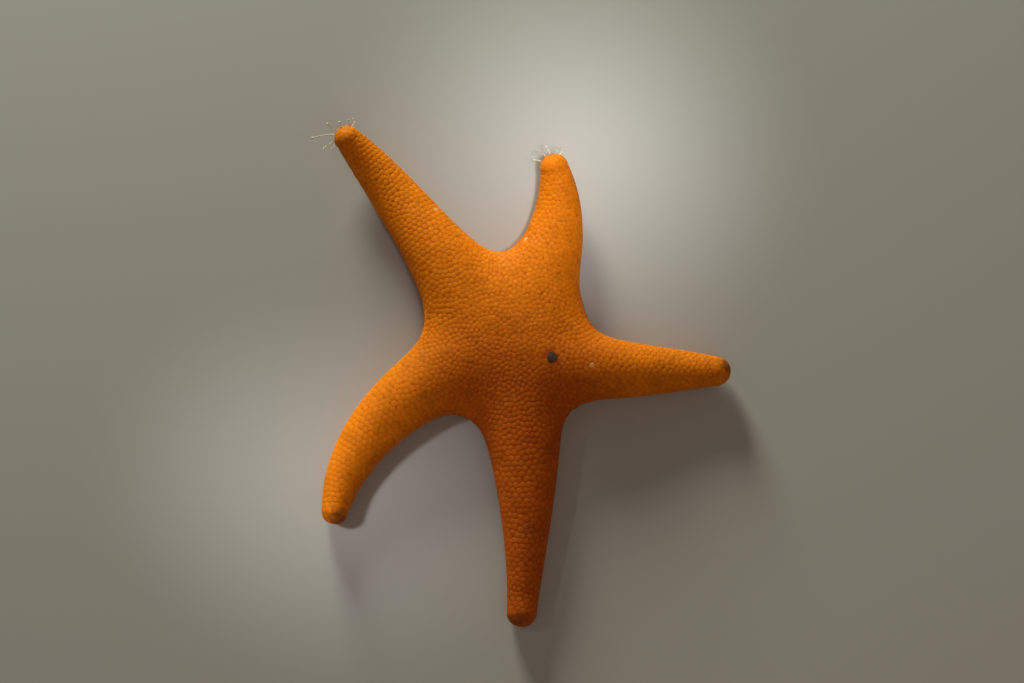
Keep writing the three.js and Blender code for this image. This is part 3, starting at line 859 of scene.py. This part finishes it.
class Graph:
    """Short forms for adding and linking a material's nodes."""

    def __init__(self, name, **settings):
        self.material = bpy.data.materials.new(name)
        self.material.use_nodes = True
        self.tree = self.material.node_tree
        self.shader = self.tree.nodes["Principled BSDF"]
        for socket, value in settings.items():
            self.shader.inputs[socket.replace("_", " ")].default_value = value

    def node(self, kind, **settings):
        made = self.tree.nodes.new("ShaderNode" + kind)
        for key, value in settings.items():
            setattr(made, key, value)
        return made

    def put(self, socket, value):
        if isinstance(value, bpy.types.NodeSocket):
            self.tree.links.new(value, socket)
        else:
            socket.default_value = value

    def attribute(self, name):
        return self.node("Attribute", attribute_name=name).outputs["Fac"]

    def math(self, operation, *values):
        made = self.node("Math", operation=operation, use_clamp=operation in ("ADD", "MULTIPLY_ADD"))
        for socket, value in zip(made.inputs, values):
            self.put(socket, value)
        return made.outputs[0]

    def noise(self, scale, detail, roughness=0.55):
        """Noise in object space; `scale` counts its cells in a metre."""
        place = self.node("TexCoord").outputs["Object"]
        made = self.node("TexNoise")
        self.put(made.inputs["Vector"], place)
        for name, value in (("Scale", scale), ("Detail", detail), ("Roughness", roughness)):
            made.inputs[name].default_value = value
        return made.outputs["Fac"]

    def ramp(self, value, *stops):
        made = self.node("ValToRGB")
        elements = made.color_ramp.elements
        while len(elements) < len(stops):
            elements.new(0.5)
        for element, (place, colour) in zip(elements, stops):
            element.position = place
            element.color = (*colour, 1)
        self.put(made.inputs["Fac"], value)
        return made.outputs["Color"]

    def grey(self, value, *stops):
        return self.ramp(value, *((place, (level, level, level)) for place, level in stops))

    def blend(self, share, a, b, how="MIX"):
        made = self.node("Mix", data_type="RGBA", blend_type=how)
        self.put(made.inputs["Factor"], share)
        for socket, value in ((made.inputs[6], a), (made.inputs[7], b)):
            self.put(socket, (*value, 1) if isinstance(value, tuple) else value)
        return made.outputs[2]

    def bump(self, height, depth):
        made = self.node("Bump")
        made.inputs["Distance"].default_value = depth * MM
        self.put(made.inputs["Height"], height)
        self.put(self.shader.inputs["Normal"], made.outputs["Normal"])

    def colour(self, value):
        self.put(self.shader.inputs["Base Color"], value)

    def roughness(self, scale, low, high):
        """Roughness that varies from grain to grain, with `scale` grains in a metre."""
        self.put(self.shader.inputs["Roughness"], self.grey(self.noise(scale, 2), (0.3, low), (0.7, high)))


# the coat's colours from the granules' crowns down into the gaps, the gaps darker as painted shade
CROWN = (0.90, 0.225, 0.004)
BODY = (0.85, 0.190, 0.003)
GAP_SHADE = (0.68, 0.125, 0.003)
# the darker, redder colours of the painted shade towards the front arm and the lower disc
SHADE_RED_CROWN = (0.58, 0.100, 0.005)
SHADE_RED_GAP = (0.38, 0.050, 0.003)
# the pale underside's colours, its gaps darker as painted shade
UNDER_CROWN = (0.86, 0.40, 0.085)
UNDER_GAP_SHADE = (0.60, 0.20, 0.035)
STAIN = (0.085, 0.036, 0.018)
# colour of the painted shade in pits between the granules
PIT_SHADE = (0.45, 0.070, 0.003)
SPECK = (0.80, 0.44, 0.14)
HIDE = dict(Subsurface_Weight=0.35, Subsurface_Scale=0.7 * MM, Subsurface_Radius=(1.0, 0.6, 0.4),
            Specular_IOR_Level=0.06)


def skin_colour(g, rise):
    """Colour by height in the coat, darker down in the gaps as painted shade, with the body's large markings
    and the painted shade towards the front arm over it.
    """
    # painted shade: the colour darkens down from the crowns into the gaps between the granules
    orange = g.ramp(rise, (0.0, GAP_SHADE), (0.45, BODY), (0.95, CROWN))
    # painted shade: darker, redder colours, laid in patches towards the front arm and the lower disc
    shaded_red = g.ramp(rise, (0.0, SHADE_RED_GAP), (0.9, SHADE_RED_CROWN))
    pale = g.ramp(rise, (0.0, UNDER_GAP_SHADE), (0.9, UNDER_CROWN))
    patchy_shade = g.math("MULTIPLY", g.attribute("painted_shade"), g.grey(g.noise(70, 4), (0.3, 0.72), (0.7, 1.0)))
    colour = g.blend(patchy_shade, orange, shaded_red)
    mottle = g.grey(g.noise(160, 4, 0.6), (0.32, 0.80), (0.5, 0.97), (0.68, 1.0))
    colour = g.blend(0.9, colour, mottle, "MULTIPLY")
    colour = g.blend(g.attribute("under"), colour, pale)
    stained = g.math("MULTIPLY", g.attribute("stain"), g.grey(g.noise(700, 3), (0.3, 0.55), (0.6, 1.0)))
    return g.blend(stained, colour, STAIN)


def skin_material():
    g = Graph("skin_between_granules", **HIDE)
    fine = g.noise(2600, 3)
    # painted shade: the skin between the granules takes the coat's low, darker colours
    colour = skin_colour(g, g.grey(fine, (0.3, 0.0), (0.8, 0.35)))
    # painted shade: dark patches where the skin shows as pits between the granules
    pit_shaded = g.blend(g.grey(g.noise(420, 2), (0.4, 0.1), (0.6, 0.6)), colour, PIT_SHADE)
    # the underside's skin between the granules takes its darker gap colour, painted shade
    g.colour(g.blend(g.attribute("under"), pit_shaded, UNDER_GAP_SHADE))
    g.roughness(900, 0.6, 0.75)
    g.bump(fine, 0.06)
    return g.material


def granule_material():
    g = Graph("granules", **HIDE)
    tone = g.attribute("tone")
    lift = g.math("MULTIPLY_ADD", tone, 0.3, -0.15)
    # colour by height in each granule, darker towards its foot as painted shade
    colour = skin_colour(g, g.math("ADD", g.attribute("rise"), lift))
    colour = g.blend(1.0, colour, g.grey(tone, (0.0, 0.88), (0.5, 0.97), (1.0, 1.0)), "MULTIPLY")
    g.colour(g.blend(g.attribute("speck"), colour, SPECK))
    g.roughness(1500, 0.46, 0.6)
    g.bump(g.noise(5200, 2), 0.03)
    return g.material


def write_skin():
    depth = form["depth"][:, None]
    points = form["points"] - form["normals"] * depth
    points[:, 2] = np.maximum(points[:, 2], 0)
    marks_and_shade = marks_and_shade_at(form["points"], form["normals"])
    skin = write_mesh("skin", points, [form["triangles"]], skin_material(), marks_and_shade,
                      form["places"][form["corners"].ravel()])
    flesh = ["disc"] + [f"arm_{n}_{part}" for n in range(1, 6) for part in ("base", "tip")]
    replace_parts(skin, *flesh)


def write_granules(name, chosen, material):
    """The chosen granules as one joined mesh, with a small patch of the flattened map to each."""
    marks_and_shade = marks_and_shade_at(granules[chosen], granule_normal[chosen])
    marks_and_shade["tone"] = granule_tone[chosen]
    marks_and_shade["speck"] = np.zeros(len(chosen))
    for x, y in SPECKS:
        away = away_from(granules[chosen], x, y)
        if away.min() < SPECK_REACH:
            marks_and_shade["speck"][away.argmin()] = SPECK_STRENGTH
    kinds = (granule_tone[chosen] * KIND_MIXER).astype(int) % len(granule_kinds)
    parts, places, members, rises = [], [], [], []
    for kind, (shape, quads, fans) in enumerate(granule_kinds):
        own = chosen[kinds == kind]
        turn = rng.random(len(own)) * 2 * math.pi
        c, s = np.cos(turn)[:, None], np.sin(turn)[:, None]
        x = shape[:, 0] * c - shape[:, 1] * s
        y = shape[:, 0] * s + shape[:, 1] * c
        radius, depth = granule_radius[own, None], granule_depth[own, None]
        up = shape[None, :, 2] * depth - depth - np.where(shape[:, 2] < 0, SUNK, 0)
        p = granules[own, None] + sum(
            amount[..., None] * direction[own, None]
            for amount, direction in zip((x * radius, y * radius, up), granule_frame)
        )
        p[..., 2] = np.maximum(p[..., 2], 0)
        parts.append(copies(p, quads, fans))
        patch = np.stack([x, y], -1) * BAKE_PATCH / 2
        places.append((form["place"][nearest_form[own], None] + patch).reshape(-1, 2))
        members.append(np.repeat(np.flatnonzero(kinds == kind), len(shape)))
        # height in each granule, which darkens its foot as painted shade
        rises.append(np.tile(clamp01(shape[:, 2]), len(own)))
    points, faces = join(parts)
    members = np.concatenate(members)
    marks_and_shade = {mark: each[members] for mark, each in marks_and_shade.items()}
    marks_and_shade["rise"] = np.concatenate(rises)
    corners = np.concatenate([f.ravel() for f in faces])
    write_mesh(name, points, faces, material, marks_and_shade, np.concatenate(places)[corners])


write_skin()
coat = granule_material()
for number, arm in enumerate(arms):
    own = granule_owner == number
    inner = granule_out < (arm.travelled[-1] - arm.travelled_at(arm.root)) * INNER_SHARE
    write_granules(f"granules_arm_{number + 1}_base", np.flatnonzero(own & inner), coat)
    write_granules(f"granules_arm_{number + 1}_tip", np.flatnonzero(own & ~inner), coat)
on_disc = granule_owner == len(arms)
behind = granules[:, 1] > 0
write_granules("granules_disc_back", np.flatnonzero(on_disc & granule_back & behind), coat)
write_granules("granules_disc_front", np.flatnonzero(on_disc & granule_back & ~behind), coat)
write_granules("granules_disc_sole", np.flatnonzero(on_disc & ~granule_back), coat)


# ---- Soft small parts: tube feet, feelers, groove spines and mouth ----

def bundle(lines, radii, sides):
    """Closed round rods along many centre lines of the same number of points: points, quads, triangles."""
    count, steps = lines.shape[:2]
    radii = np.broadcast_to(radii, (count, steps))
    tangent = unit(np.gradient(lines, axis=1))
    aside = np.where(np.abs(tangent[:, :1, 2:]) < 0.8, [[[0, 0, 1]]], [[[1, 0, 0]]])
    u = unit(np.cross(tangent, aside))
    v = np.cross(tangent, u)
    turn = np.arange(sides) * 2 * math.pi / sides
    around = u[:, :, None] * np.cos(turn)[:, None] + v[:, :, None] * np.sin(turn)[:, None]
    body = lines[:, :, None] + around * radii[..., None, None]
    points = np.concatenate([body.reshape(count, -1, 3), lines[:, :1], lines[:, -1:]], 1)
    root = steps * sides
    root_fan = fan(0, root, sides)[:, [1, 0, 2]]
    return copies(points, bands(steps, sides), np.vstack([root_fan, fan(root - sides, root + 1, sides)]))


def soft_material(name, colour, edge, weight):
    """Moist pale tissue, a little translucent."""
    g = Graph(name, Subsurface_Weight=weight, Subsurface_Scale=0.8 * MM,
              Subsurface_Radius=(1.0, 0.7, 0.5), Specular_IOR_Level=0.5)
    g.colour(g.blend(g.grey(g.noise(900, 3), (0.3, 0.0), (0.7, 1.0)), edge, colour))
    g.roughness(2100, 0.24, 0.42)
    g.bump(g.noise(6000, 2), 0.02)
    return g.material


FLOOR_MARGIN = 0.02
FOOT_SIDES = 8
FOOT_PAIRS_APART = 1.15
FOOT_RADII = (0.30, 0.26, 0.22, 0.20, 0.22, 0.33, 0.36, 0.30, 0.12)
FOOT_STEPS = (0.0, 0.2, 0.45, 0.7, 0.84, 0.92, 0.97, 1.0, 0.95)  # the last one dips back into the sucker
FOOT_LEAN = 0.22
FOOT_ROOT = 0.72  # share of the groove's depth at which a foot leaves its roof
FOOT_ASIDE = 0.3  # and share of its half width
FOOT_OUTWARDS = 0.12
FOOT_CLEAR = 0.06  # the longest foot ends this far above the floor
FOOT_SHORTER = 0.22
FOOT_BOW = 1.5
FEET_START = 0.6  # past the mouth's rim
BED_SHARES = ((-0.8, 0.30), (-0.66, 0.62), (-0.36, 0.84), (0, 0.93), (0.36, 0.84), (0.66, 0.62), (0.8, 0.30))
BED_STEP = 0.6
BED_BACK = 0.35  # the strip's thickness
BED_INTO_MOUTH = 0.4
BED_PAST_FEET = 0.03


def foot_bed(arm):
    """A folded strip along the roof of the groove."""
    start = (MOUTH - BED_INTO_MOUTH) / arm.length
    t = np.linspace(start, BED_ENDS + BED_PAST_FEET, int(arm.length / BED_STEP))
    s = arm.at(t)
    half, depth = groove_half(arm, t), groove_depth(arm, t)
    low = [s.place(side * half, up * depth) for side, up in BED_SHARES]
    high = [row + s.up * BED_BACK for row in low[::-1]]
    grid = np.stack(low + high, 1)
    rows, columns = grid.shape[:2]
    cover = np.array([[0, k + 1, k] for k in range(1, columns - 1)])
    covers = np.vstack([cover, cover[:, ::-1] + (rows - 1) * columns])
    return grid.reshape(-1, 3), bands(rows, columns), covers


def tube_feet(arm):
    run = np.arange(MOUTH + FEET_START, float(arm.travelled_at(BED_ENDS)), FOOT_PAIRS_APART / 2)
    t = arm.share_at(run)
    side = np.where(np.arange(len(run)) % 2 == 0, 1.0, -1.0)
    s = arm.at(t)
    half, depth = groove_half(arm, t), groove_depth(arm, t)
    roof = s.place(side * FOOT_ASIDE * half, FOOT_ROOT * depth)
    lean = rng.normal(size=(len(run), 2)) * FOOT_LEAN
    lean[:, 0] = lean[:, 0] * 0.5 + side * FOOT_OUTWARDS
    length = FOOT_ROOT * depth - FOOT_CLEAR - FOOT_SHORTER * rng.random(len(run))
    along = np.array(FOOT_STEPS)
    bow = np.sin(along * math.pi * 0.5) ** FOOT_BOW
    line = roof[:, None] - s.up[:, None] * (along * length[:, None])[..., None]
    line = line + s.left[:, None] * (bow * (lean[:, :1] * half[:, None]))[..., None]
    line = line + s.ahead[:, None] * (bow * lean[:, 1:] * 0.8)[..., None]
    radii = np.array(FOOT_RADII) * np.clip(half / 1.9, 0.6, 1.0)[:, None]
    return bundle(line, radii, FOOT_SIDES)


def write_tube_feet():
    material = soft_material("tube_feet", (0.86, 0.60, 0.34), (0.80, 0.42, 0.16), 0.25)
    for number, arm in enumerate(arms, 1):
        points, faces = join([foot_bed(arm), tube_feet(arm)])
        points[:, 2] = np.maximum(points[:, 2], FLOOR_MARGIN)
        feet = write_mesh(f"feet_of_arm_{number}", points, faces, material)
        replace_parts(feet, f"tube_feet_{number}")


FEELER_SIDES = 10
FEELER_SUNK = 1.0
FEELER_RADII = (0.24, 0.20, 0.17, 0.15, 0.14, 0.135, 0.14, 0.23, 0.27, 0.22, 0.1)
FEELER_STEPS = (0, 0.12, 0.25, 0.4, 0.55, 0.7, 0.85, 0.93, 0.97, 1.0, 0.985)
FEELER_LEVEL = -0.35
FEELER_BOW = 0.07


def write_feelers():
    """The long tube feet that feel ahead at the ends of the two raised arms."""
    g = Graph("feelers", Subsurface_Weight=0.5, Subsurface_Scale=1.0 * MM, Transmission_Weight=0.35, IOR=1.36)
    g.colour(g.ramp(g.noise(800, 2), (0.3, (0.78, 0.66, 0.52)), (0.7, (0.90, 0.84, 0.74))))
    g.roughness(1700, 0.2, 0.35)
    for number, feelers in FEELERS.items():
        arm = arms[number - 1]
        end = arm.at(1)

        def towards(bearing, climb):
            b, c = math.radians(bearing), math.radians(climb)
            return (end.ahead * math.cos(b) * math.cos(c) + end.left * math.sin(b) * math.cos(c)
                    + end.up * math.sin(c))

        lines = []
        for root, bearing, climb, length in feelers:
            level = end.up * FEELER_LEVEL * end.equator
            foot = end.centre + towards(root, 0) * (end.half - FEELER_SUNK) + level
            whole = length + FEELER_SUNK
            direction = towards(bearing, climb)
            bow = np.cross(direction, end.up) * whole * FEELER_BOW * (1 if root > 0 else -1)
            steps = np.array(FEELER_STEPS)[:, None]
            lines.append(foot + direction * whole * steps + bow * np.sin(steps * math.pi) * 0.8)
        points, *faces = bundle(np.array(lines), FEELER_RADII, FEELER_SIDES)
        write_mesh(f"feelers_{number}", points, faces, g.material)


COMB_SIDES = 6
COMB_APART = 0.8
COMB_OUT = 0.12  # a spine's foot stands this far outside the groove's edge
COMB_LEVEL = 0.42
COMB_STEPS = (0, 0.3, 0.6, 0.85, 1.0)
COMB_RADII = (0.17, 0.17, 0.15, 0.12, 0.06)
COMB_START = 0.7  # past the mouth's rim
COMB_INWARDS = 0.85
COMB_DOWN = 0.42
COMB_SPREAD = 0.28  # every other spine points ahead, and the rest back, by this
COMB_LENGTH = 0.85
JAW_SPINES = 5
JAW_APART = 0.42
JAW_OUT = 0.25  # outside the mouth's rim
JAW_LEVEL = 0.75
JAW_DOWN = 0.28
JAW_TOGETHER = 0.12  # how much they point towards each other
JAW_LENGTH = 1.5
JAW_STOUTER = 1.35
JAW_SIDES = 7


def groove_combs(arm):
    """The fringe of blunt spines along both edges of the groove, leaning over it."""
    run = np.arange(MOUTH + COMB_START, float(arm.travelled_at(GROOVE_ENDS)), COMB_APART / 2)
    t = arm.share_at(run)
    s = arm.at(t)
    half = groove_half(arm, t)
    parts = []
    for side in (1, -1):
        edge = s.place(side * (half + COMB_OUT), COMB_LEVEL)
        turned = np.where(np.arange(len(run)) % 2, COMB_SPREAD, -COMB_SPREAD)
        spread = rng.normal(size=len(run)) * 0.1 + turned
        size = COMB_LENGTH * np.clip(half / 1.8, 0.6, 1) * (0.9 + 0.2 * rng.random(len(run)))
        direction = unit(-s.left * side * COMB_INWARDS - s.up * COMB_DOWN + s.ahead * spread[:, None])
        steps = np.array(COMB_STEPS)
        line = edge[:, None] + direction[:, None] * (steps * size[:, None])[..., None]
        parts.append(bundle(line, COMB_RADII, COMB_SIDES))
    return parts


def jaw_spines(arm):
    """Longer spines at the corner between this arm and the next, pointing in over the mouth."""
    corner = unit(arm.right_notch * [1, 1, 0])
    across = np.array([-corner[1], corner[0], 0])
    lines = []
    for k in range(JAW_SPINES):
        side = (k - (JAW_SPINES - 1) / 2) * JAW_APART
        foot = corner * (MOUTH + JAW_OUT) + across * side + [0, 0, JAW_LEVEL]
        direction = unit(-corner + across * side * -JAW_TOGETHER + np.array([0, 0, -JAW_DOWN]))
        lines.append(foot + direction * JAW_LENGTH * np.array(COMB_STEPS)[:, None])
    return bundle(np.array(lines), np.array(COMB_RADII) * JAW_STOUTER, JAW_SIDES)


def write_combs():
    g = Graph("groove_spines", Subsurface_Weight=0.15, Subsurface_Scale=0.6 * MM,
              Subsurface_Radius=(1.0, 0.5, 0.25))
    g.colour(g.ramp(g.noise(500, 3), (0.3, (0.80, 0.36, 0.07)), (0.7, (0.90, 0.52, 0.17))))
    g.roughness(1500, 0.4, 0.55)
    points, faces = join([part for arm in arms for part in [*groove_combs(arm), jaw_spines(arm)]])
    points[:, 2] = np.maximum(points[:, 2], FLOOR_MARGIN)
    write_mesh("groove_spines", points, faces, g.material)


LIPS = ((0, 2.45), (2.1, 2.45), (2.3, 1.9), (2.05, 1.3), (1.6, 1.0), (1.15, 0.98), (0.8, 1.15), (0.55, 1.5),
        (0.42, 1.85), (0, 1.95))
LIP_SIDES = 90
LIP_FOLDS = 30


def lathe(profile, sides, fold):
    """A closed turned form round Z from its first to its last point, both on the axis, then folded."""
    radius, level = np.array(profile).T
    turn = np.arange(sides) * 2 * math.pi / sides
    r = np.repeat(radius[1:-1, None], sides, 1)
    z = np.repeat(level[1:-1, None], sides, 1)
    r, z = fold(r, z, turn)
    body = np.stack([r * np.cos(turn), r * np.sin(turn), z], -1).reshape(-1, 3)
    points = np.vstack([body, [[0, 0, level[0]], [0, 0, level[-1]]]])
    quads = np.roll(bands(len(profile) - 2, sides)[:, ::-1], 1, axis=1)
    last_fan = fan(len(body) - sides, len(body) + 1, sides)[:, [1, 0, 2]]
    return points, quads, np.vstack([fan(0, len(body), sides), last_fan])


def write_mouth():
    """Soft ring lips, pleated towards the opening."""
    def fold(r, z, turn):
        pleat = smooth((2.2 - r) / 1.6) * np.cos(LIP_FOLDS * turn)
        return r * (1 + 0.03 * pleat), z + 0.07 * pleat

    points, *faces = lathe(LIPS, LIP_SIDES, fold)
    material = soft_material("mouth_lips", (0.80, 0.42, 0.20), (0.62, 0.24, 0.09), 0.2)
    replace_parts(write_mesh("lips", points, faces, material), "mouth")


SIEVE_RINGS = 26
SIEVE_SIDES = 132
SIEVE_PROUD = 0.25
SIEVE_SUNK = 0.5
SIEVE_CROWN = 0.22  # its edge lies lower than its middle by this
SIEVE_FOLD = 0.07


def write_sieve_plate():
    """The sieve plate: a small stony button, finely grooved in wandering rays."""
    here = np.array([[SIEVE["x"], SIEVE["y"], 0.0]])
    here[:, 2] = crest_over(here)
    normal = frames_at(here)[1][0]
    radius = SIEVE["radius"]
    shares = np.linspace(0, 1, SIEVE_RINGS)[1:]
    top = [(share * radius, SIEVE_PROUD - SIEVE_CROWN * share**3) for share in shares]
    profile = [(0, SIEVE_PROUD), *top, (radius, -SIEVE_SUNK), (0, -SIEVE_SUNK)]

    def fold(r, z, turn):
        share = clamp01(r / radius)
        rays = np.cos(11 * turn + 2.2 * np.sin(3 * turn + 5 * share)) * smooth(share * 3)
        fine = np.cos(22 * turn + 3 * np.sin(4 * turn - 7 * share)) * smooth(share * 2 - 0.9)
        corner = 1 + 0.09 * np.cos(3 * turn + 0.6)
        top = z > -0.1
        return r * corner, z + top * SIEVE_FOLD * (mix(rays, fine, 0.5) - 1) * smooth((1 - share) * 8)

    points, *faces = lathe(profile[::-1], SIEVE_SIDES, fold)
    turn = np.array(Vector((0, 0, 1)).rotation_difference(Vector(normal)).to_matrix())
    g = Graph("sieve_plate", Specular_IOR_Level=0.3)
    g.colour(g.ramp(g.noise(1900, 3), (0.35, (0.035, 0.018, 0.008)), (0.65, (0.12, 0.068, 0.032))))
    g.roughness(2500, 0.65, 0.85)
    g.bump(g.noise(5000, 2), 0.02)
    piece = write_mesh("sieve_button", points @ turn.T + here, faces, g.material)
    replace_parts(piece, "sieve_plate")


write_tube_feet()
write_feelers()
write_combs()
write_mouth()
write_sieve_plate()


# ---- Stage, light and camera ----

CAMERA_RISE = 82  # degrees above the floor, from the side of the front arm
CAMERA_AWAY = 570
LENS = 80.0
SENSOR = 36.0
PICTURE = (1024, 683)
FLOOR_ACROSS = 12  # metres
SPOT_SIZE = 30
WARM = (1, 0.82, 0.68)
DISC_AT = (508, 345)  # where the disc's middle lies in the picture, in pixels


def add_camera():
    rise = math.radians(CAMERA_RISE)
    pixels = LENS / SENSOR * PICTURE[0]
    forward = np.array([0, math.cos(rise), -math.sin(rise)])
    right = np.array([1, 0, 0])
    up = np.array([0, math.sin(rise), math.cos(rise)])
    off_right = (DISC_AT[0] - PICTURE[0] / 2) / pixels * CAMERA_AWAY
    off_up = -(DISC_AT[1] - PICTURE[1] / 2) / pixels * CAMERA_AWAY
    place = -(CAMERA_AWAY * forward + off_up * up + off_right * right)
    data = bpy.data.cameras.new("camera")
    data.lens = LENS
    data.sensor_width = SENSOR
    data.clip_start = 0.01
    camera = add_object("camera", data)
    camera.location = place * MM + CENTRE
    camera.rotation_euler = (math.radians(90 - CAMERA_RISE), 0, 0)
    bpy.context.scene.camera = camera


def add_lamp(name, kind, place, target, energy, **settings):
    data = bpy.data.lights.new(name, kind)
    data.energy = energy
    for setting, value in settings.items():
        setattr(data, setting, value)
    lamp = add_object(name, data)
    lamp.location = Vector(place) * MM
    lamp.rotation_euler = (Vector(target) - Vector(place)).to_track_quat("-Z", "Y").to_euler()


def add_panel(name, place, size, energy, colour):
    """A soft round light that faces the model."""
    add_lamp(name, "AREA", place, (0, 0, 0), energy, shape="DISK", size=size * MM, color=colour)


def add_spot(name, place, target, radius, energy):
    """A soft round pool of light, with this radius at its target."""
    wide = 2 * math.atan(radius / (Vector(target) - Vector(place)).length)
    size = SPOT_SIZE * MM
    add_lamp(name, "SPOT", place, target, energy, shadow_soft_size=size, spot_size=wide, spot_blend=1.0)


def add_floor():
    g = Graph("pale_floor", Roughness=1.0, Specular_IOR_Level=0.0, Base_Color=(0.42, 0.41, 0.39, 1))
    bpy.ops.mesh.primitive_plane_add(size=FLOOR_ACROSS)
    floor = bpy.context.object
    floor.name = "floor"
    floor.data.materials.append(g.material)


def add_world():
    world = bpy.data.worlds.new("studio")
    world.use_nodes = True
    background = world.node_tree.nodes["Background"].inputs
    background["Color"].default_value = (*WARM, 1)
    background["Strength"].default_value = 0.16
    bpy.context.scene.world = world


add_camera()
add_panel("key", (-208, 648, 179), 210, 5.9, (0.95, 1, 0.86))
add_panel("fill", (150, -260, 420), 400, 0.22, WARM)
add_spot("upper", (60, -20, 345), (15, 54, 12), 41, 5.2)
add_spot("left", (-220, 20, 220), (-50, -27, 6), 30, 3.0)
add_floor()
add_world()
bpy.context.scene.view_settings.view_transform = "Standard"
